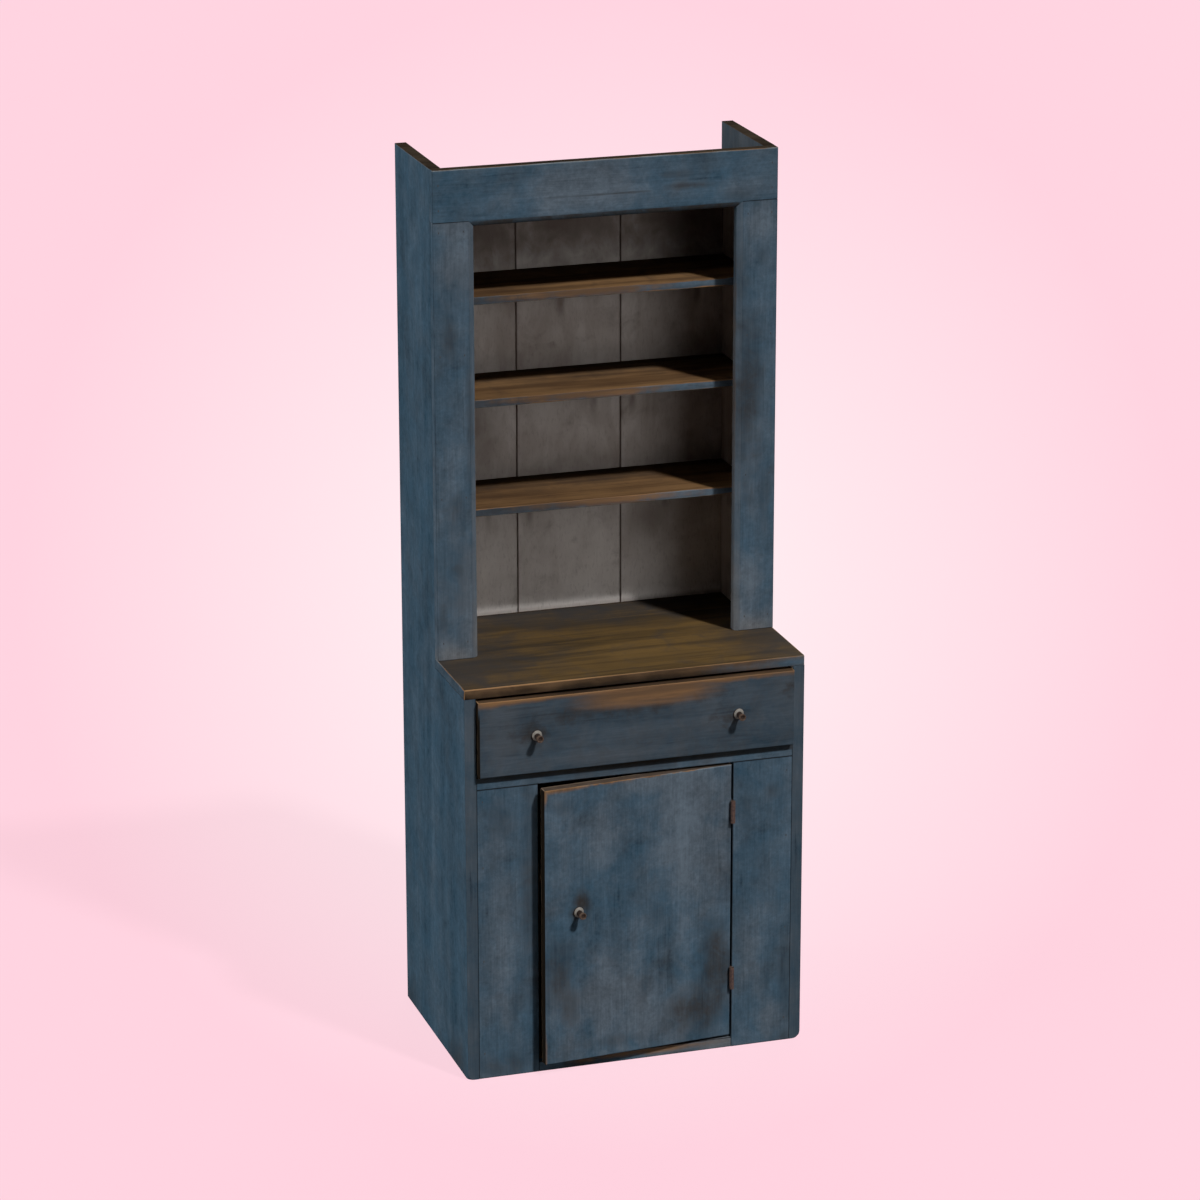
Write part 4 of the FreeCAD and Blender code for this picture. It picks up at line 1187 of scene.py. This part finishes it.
# ---------------------------------------------------------------- stage
class CUPBOARD_OT_stage(bpy.types.Operator):
    """Lay the floor, hang the lamps and set up the camera"""
    bl_idname = "cupboard.stage"
    bl_label = "Floor, Lamps and Camera"

    CAMERA_PLACE = Vector((-2.62376, -8.18841, 3.67906))
    CAMERA_YAW = math.radians(-17.754)
    CAMERA_DOWN = math.radians(17.839)
    CAMERA_ROLL = math.radians(-0.065)

    # Share of what the camera sees of the floor that no shadow darkens
    FLOOR_PLAIN = 0.93
    # Where the pool ends, as a share of the distance from the camera
    POOL_EDGE = 0.13

    def lamp(self, name, strength, towards, wide):
        """A distant soft lamp in a direction, so many degrees wide."""
        data = bpy.data.lights.new(name, "SUN")
        data.energy = strength
        data.angle = math.radians(wide)
        lamp = bpy.data.objects.new(name, data)
        lamp.rotation_euler = Vector(towards).to_track_quat("Z", "Y").to_euler()
        lamp.location = Vector(towards) * 5
        bpy.context.scene.collection.objects.link(lamp)

    def camera(self):
        data = bpy.data.cameras.new("camera")
        data.lens = settings().stage.lens
        data.sensor_width = 36.0
        data.clip_end = 200.0
        camera = bpy.data.objects.new("camera", data)
        level = Euler((math.pi / 2 - self.CAMERA_DOWN, 0, self.CAMERA_YAW)).to_matrix()
        camera.rotation_euler = (level @ Matrix.Rotation(self.CAMERA_ROLL, 3, "Z")).to_euler()
        camera.location = self.CAMERA_PLACE
        bpy.context.scene.collection.objects.link(camera)
        bpy.context.scene.camera = camera

    def floor(self):
        """A wide pale floor, paler in a painted pool of light round the cupboard."""
        stage = settings().stage
        floor = primitive(
            bpy.ops.mesh.primitive_plane_add, "floor", size=120.0, location=(0, 0, -0.2 * MM))
        material = bpy.data.materials.new("floor")
        tree = empty_tree(material)
        tint = tree.mix(self.pool(tree), stage.glow, stage.floor)
        lit = tree.first("BsdfDiffuse", {"Color": tint})
        plain = tree.first("Emission", {"Color": tint, "Strength": 1.0})
        # What the camera doesn't see is dark, so that little light comes back up from the floor
        bounce = tree.first("BsdfDiffuse", {"Color": (0.05, 0.045, 0.045)})
        surface = tree.shaders(tree.seen(), bounce, tree.shaders(self.FLOOR_PLAIN, lit, plain))
        tree.add("OutputMaterial", {"Surface": surface})
        floor.data.materials.append(material)

    def pool(self, tree):
        """How far a place on the floor is from the middle of the painted pool of light, 0 to 1."""
        level = Matrix.Rotation(-self.CAMERA_YAW, 3, "Z") @ self.CAMERA_PLACE
        turned = tree.mapped(
            tree.add("TexCoord").outputs["Object"], Location=-level, Rotation=(0, 0, -self.CAMERA_YAW))
        across, away, _ = tree.add("SeparateXYZ", {0: turned}).outputs
        near = tree.larger(away, 0.5)
        side = tree.math("DIVIDE", across, tree.times(near, 1.0 / math.cos(self.CAMERA_DOWN)))
        rise = tree.minus(tree.math("DIVIDE", self.CAMERA_PLACE.z, near), math.tan(self.CAMERA_DOWN))
        rise = tree.times(rise, math.cos(self.CAMERA_DOWN) ** 2)
        square = tree.plus(tree.times(side, side), tree.times(rise, rise))
        return tree.math("DIVIDE", tree.math("SQRT", square), self.POOL_EDGE, clamp=True)

    def world(self):
        """A dim even light, with the floor's colour behind the floor's far edge."""
        world = bpy.data.worlds.new("world")
        tree = empty_tree(world)
        dim = tree.first("Background", {"Color": (1, 1, 1), "Strength": 0.018})
        plain = tree.first("Background", {"Color": settings().stage.floor, "Strength": 1.0})
        tree.add("OutputWorld", {"Surface": tree.shaders(tree.seen(), dim, plain)})
        bpy.context.scene.world = world

    def execute(self, context):
        stage = settings().stage
        self.floor()
        self.world()
        self.lamp("key", stage.key, (0.308, -0.560, 0.769), 4.8)
        self.lamp("front_fill", stage.front, (0.33, -0.94, -0.06), 36.0)
        self.lamp("left_fill", stage.left, (-0.98, -0.02, 0.17), 30.0)
        self.lamp("back_fill", stage.behind, (0.35, 0.90, 0.25), 50.0)
        self.camera()
        context.scene.view_settings.view_transform = "Standard"
        return {"FINISHED"}


class CUPBOARD_PT_panel(bpy.types.Panel):
    """The cupboard's pieces and settings in the sidebar."""
    bl_idname = "CUPBOARD_PT_panel"
    bl_label = "Step Back Cupboard"
    bl_space_type = "VIEW_3D"
    bl_region_type = "UI"
    bl_category = "Cupboard"

    def draw(self, context):
        chosen = context.scene.cupboard
        for part in (chosen.paint, chosen.wood, chosen.sizes, chosen.stage):
            box = self.layout.box()
            for name in part.__annotations__:
                box.prop(part, name)
        for operator in OPERATORS:
            self.layout.operator(operator.bl_idname)


OPERATORS = (
    CUPBOARD_OT_stage,
    CUPBOARD_OT_sides,
    CUPBOARD_OT_rack_frame,
    CUPBOARD_OT_base_frame,
    CUPBOARD_OT_shelves,
    CUPBOARD_OT_counter,
    CUPBOARD_OT_back_boards,
    CUPBOARD_OT_inner_boards,
    CUPBOARD_OT_drawer_front,
    CUPBOARD_OT_door_board,
    CUPBOARD_OT_knobs,
    CUPBOARD_OT_hinges,
    CUPBOARD_OT_nails,
)
GROUPS = (CupboardPaint, CupboardWood, CupboardSizes, CupboardStage, CupboardSettings)
CLASSES = GROUPS + OPERATORS + (CUPBOARD_PT_panel,)


def register():
    for each in CLASSES:
        bpy.utils.register_class(each)
    bpy.types.Scene.cupboard = bpy.props.PointerProperty(
        type=CupboardSettings, name="Cupboard", description="Settings of the step back cupboard")


def unregister():
    del bpy.types.Scene.cupboard
    for each in reversed(CLASSES):
        bpy.utils.unregister_class(each)


def main():
    register()
    bpy.ops.cupboard.stage()
    bpy.ops.cupboard.sides()
    bpy.ops.cupboard.rack_frame()
    bpy.ops.cupboard.base_frame()
    bpy.ops.cupboard.shelves()
    bpy.ops.cupboard.counter()
    bpy.ops.cupboard.back_boards()
    bpy.ops.cupboard.inner_boards()
    bpy.ops.cupboard.drawer_front()
    bpy.ops.cupboard.door_board()
    bpy.ops.cupboard.knobs()
    bpy.ops.cupboard.hinges()
    bpy.ops.cupboard.nails()


if __name__ == "__main__":
    main()
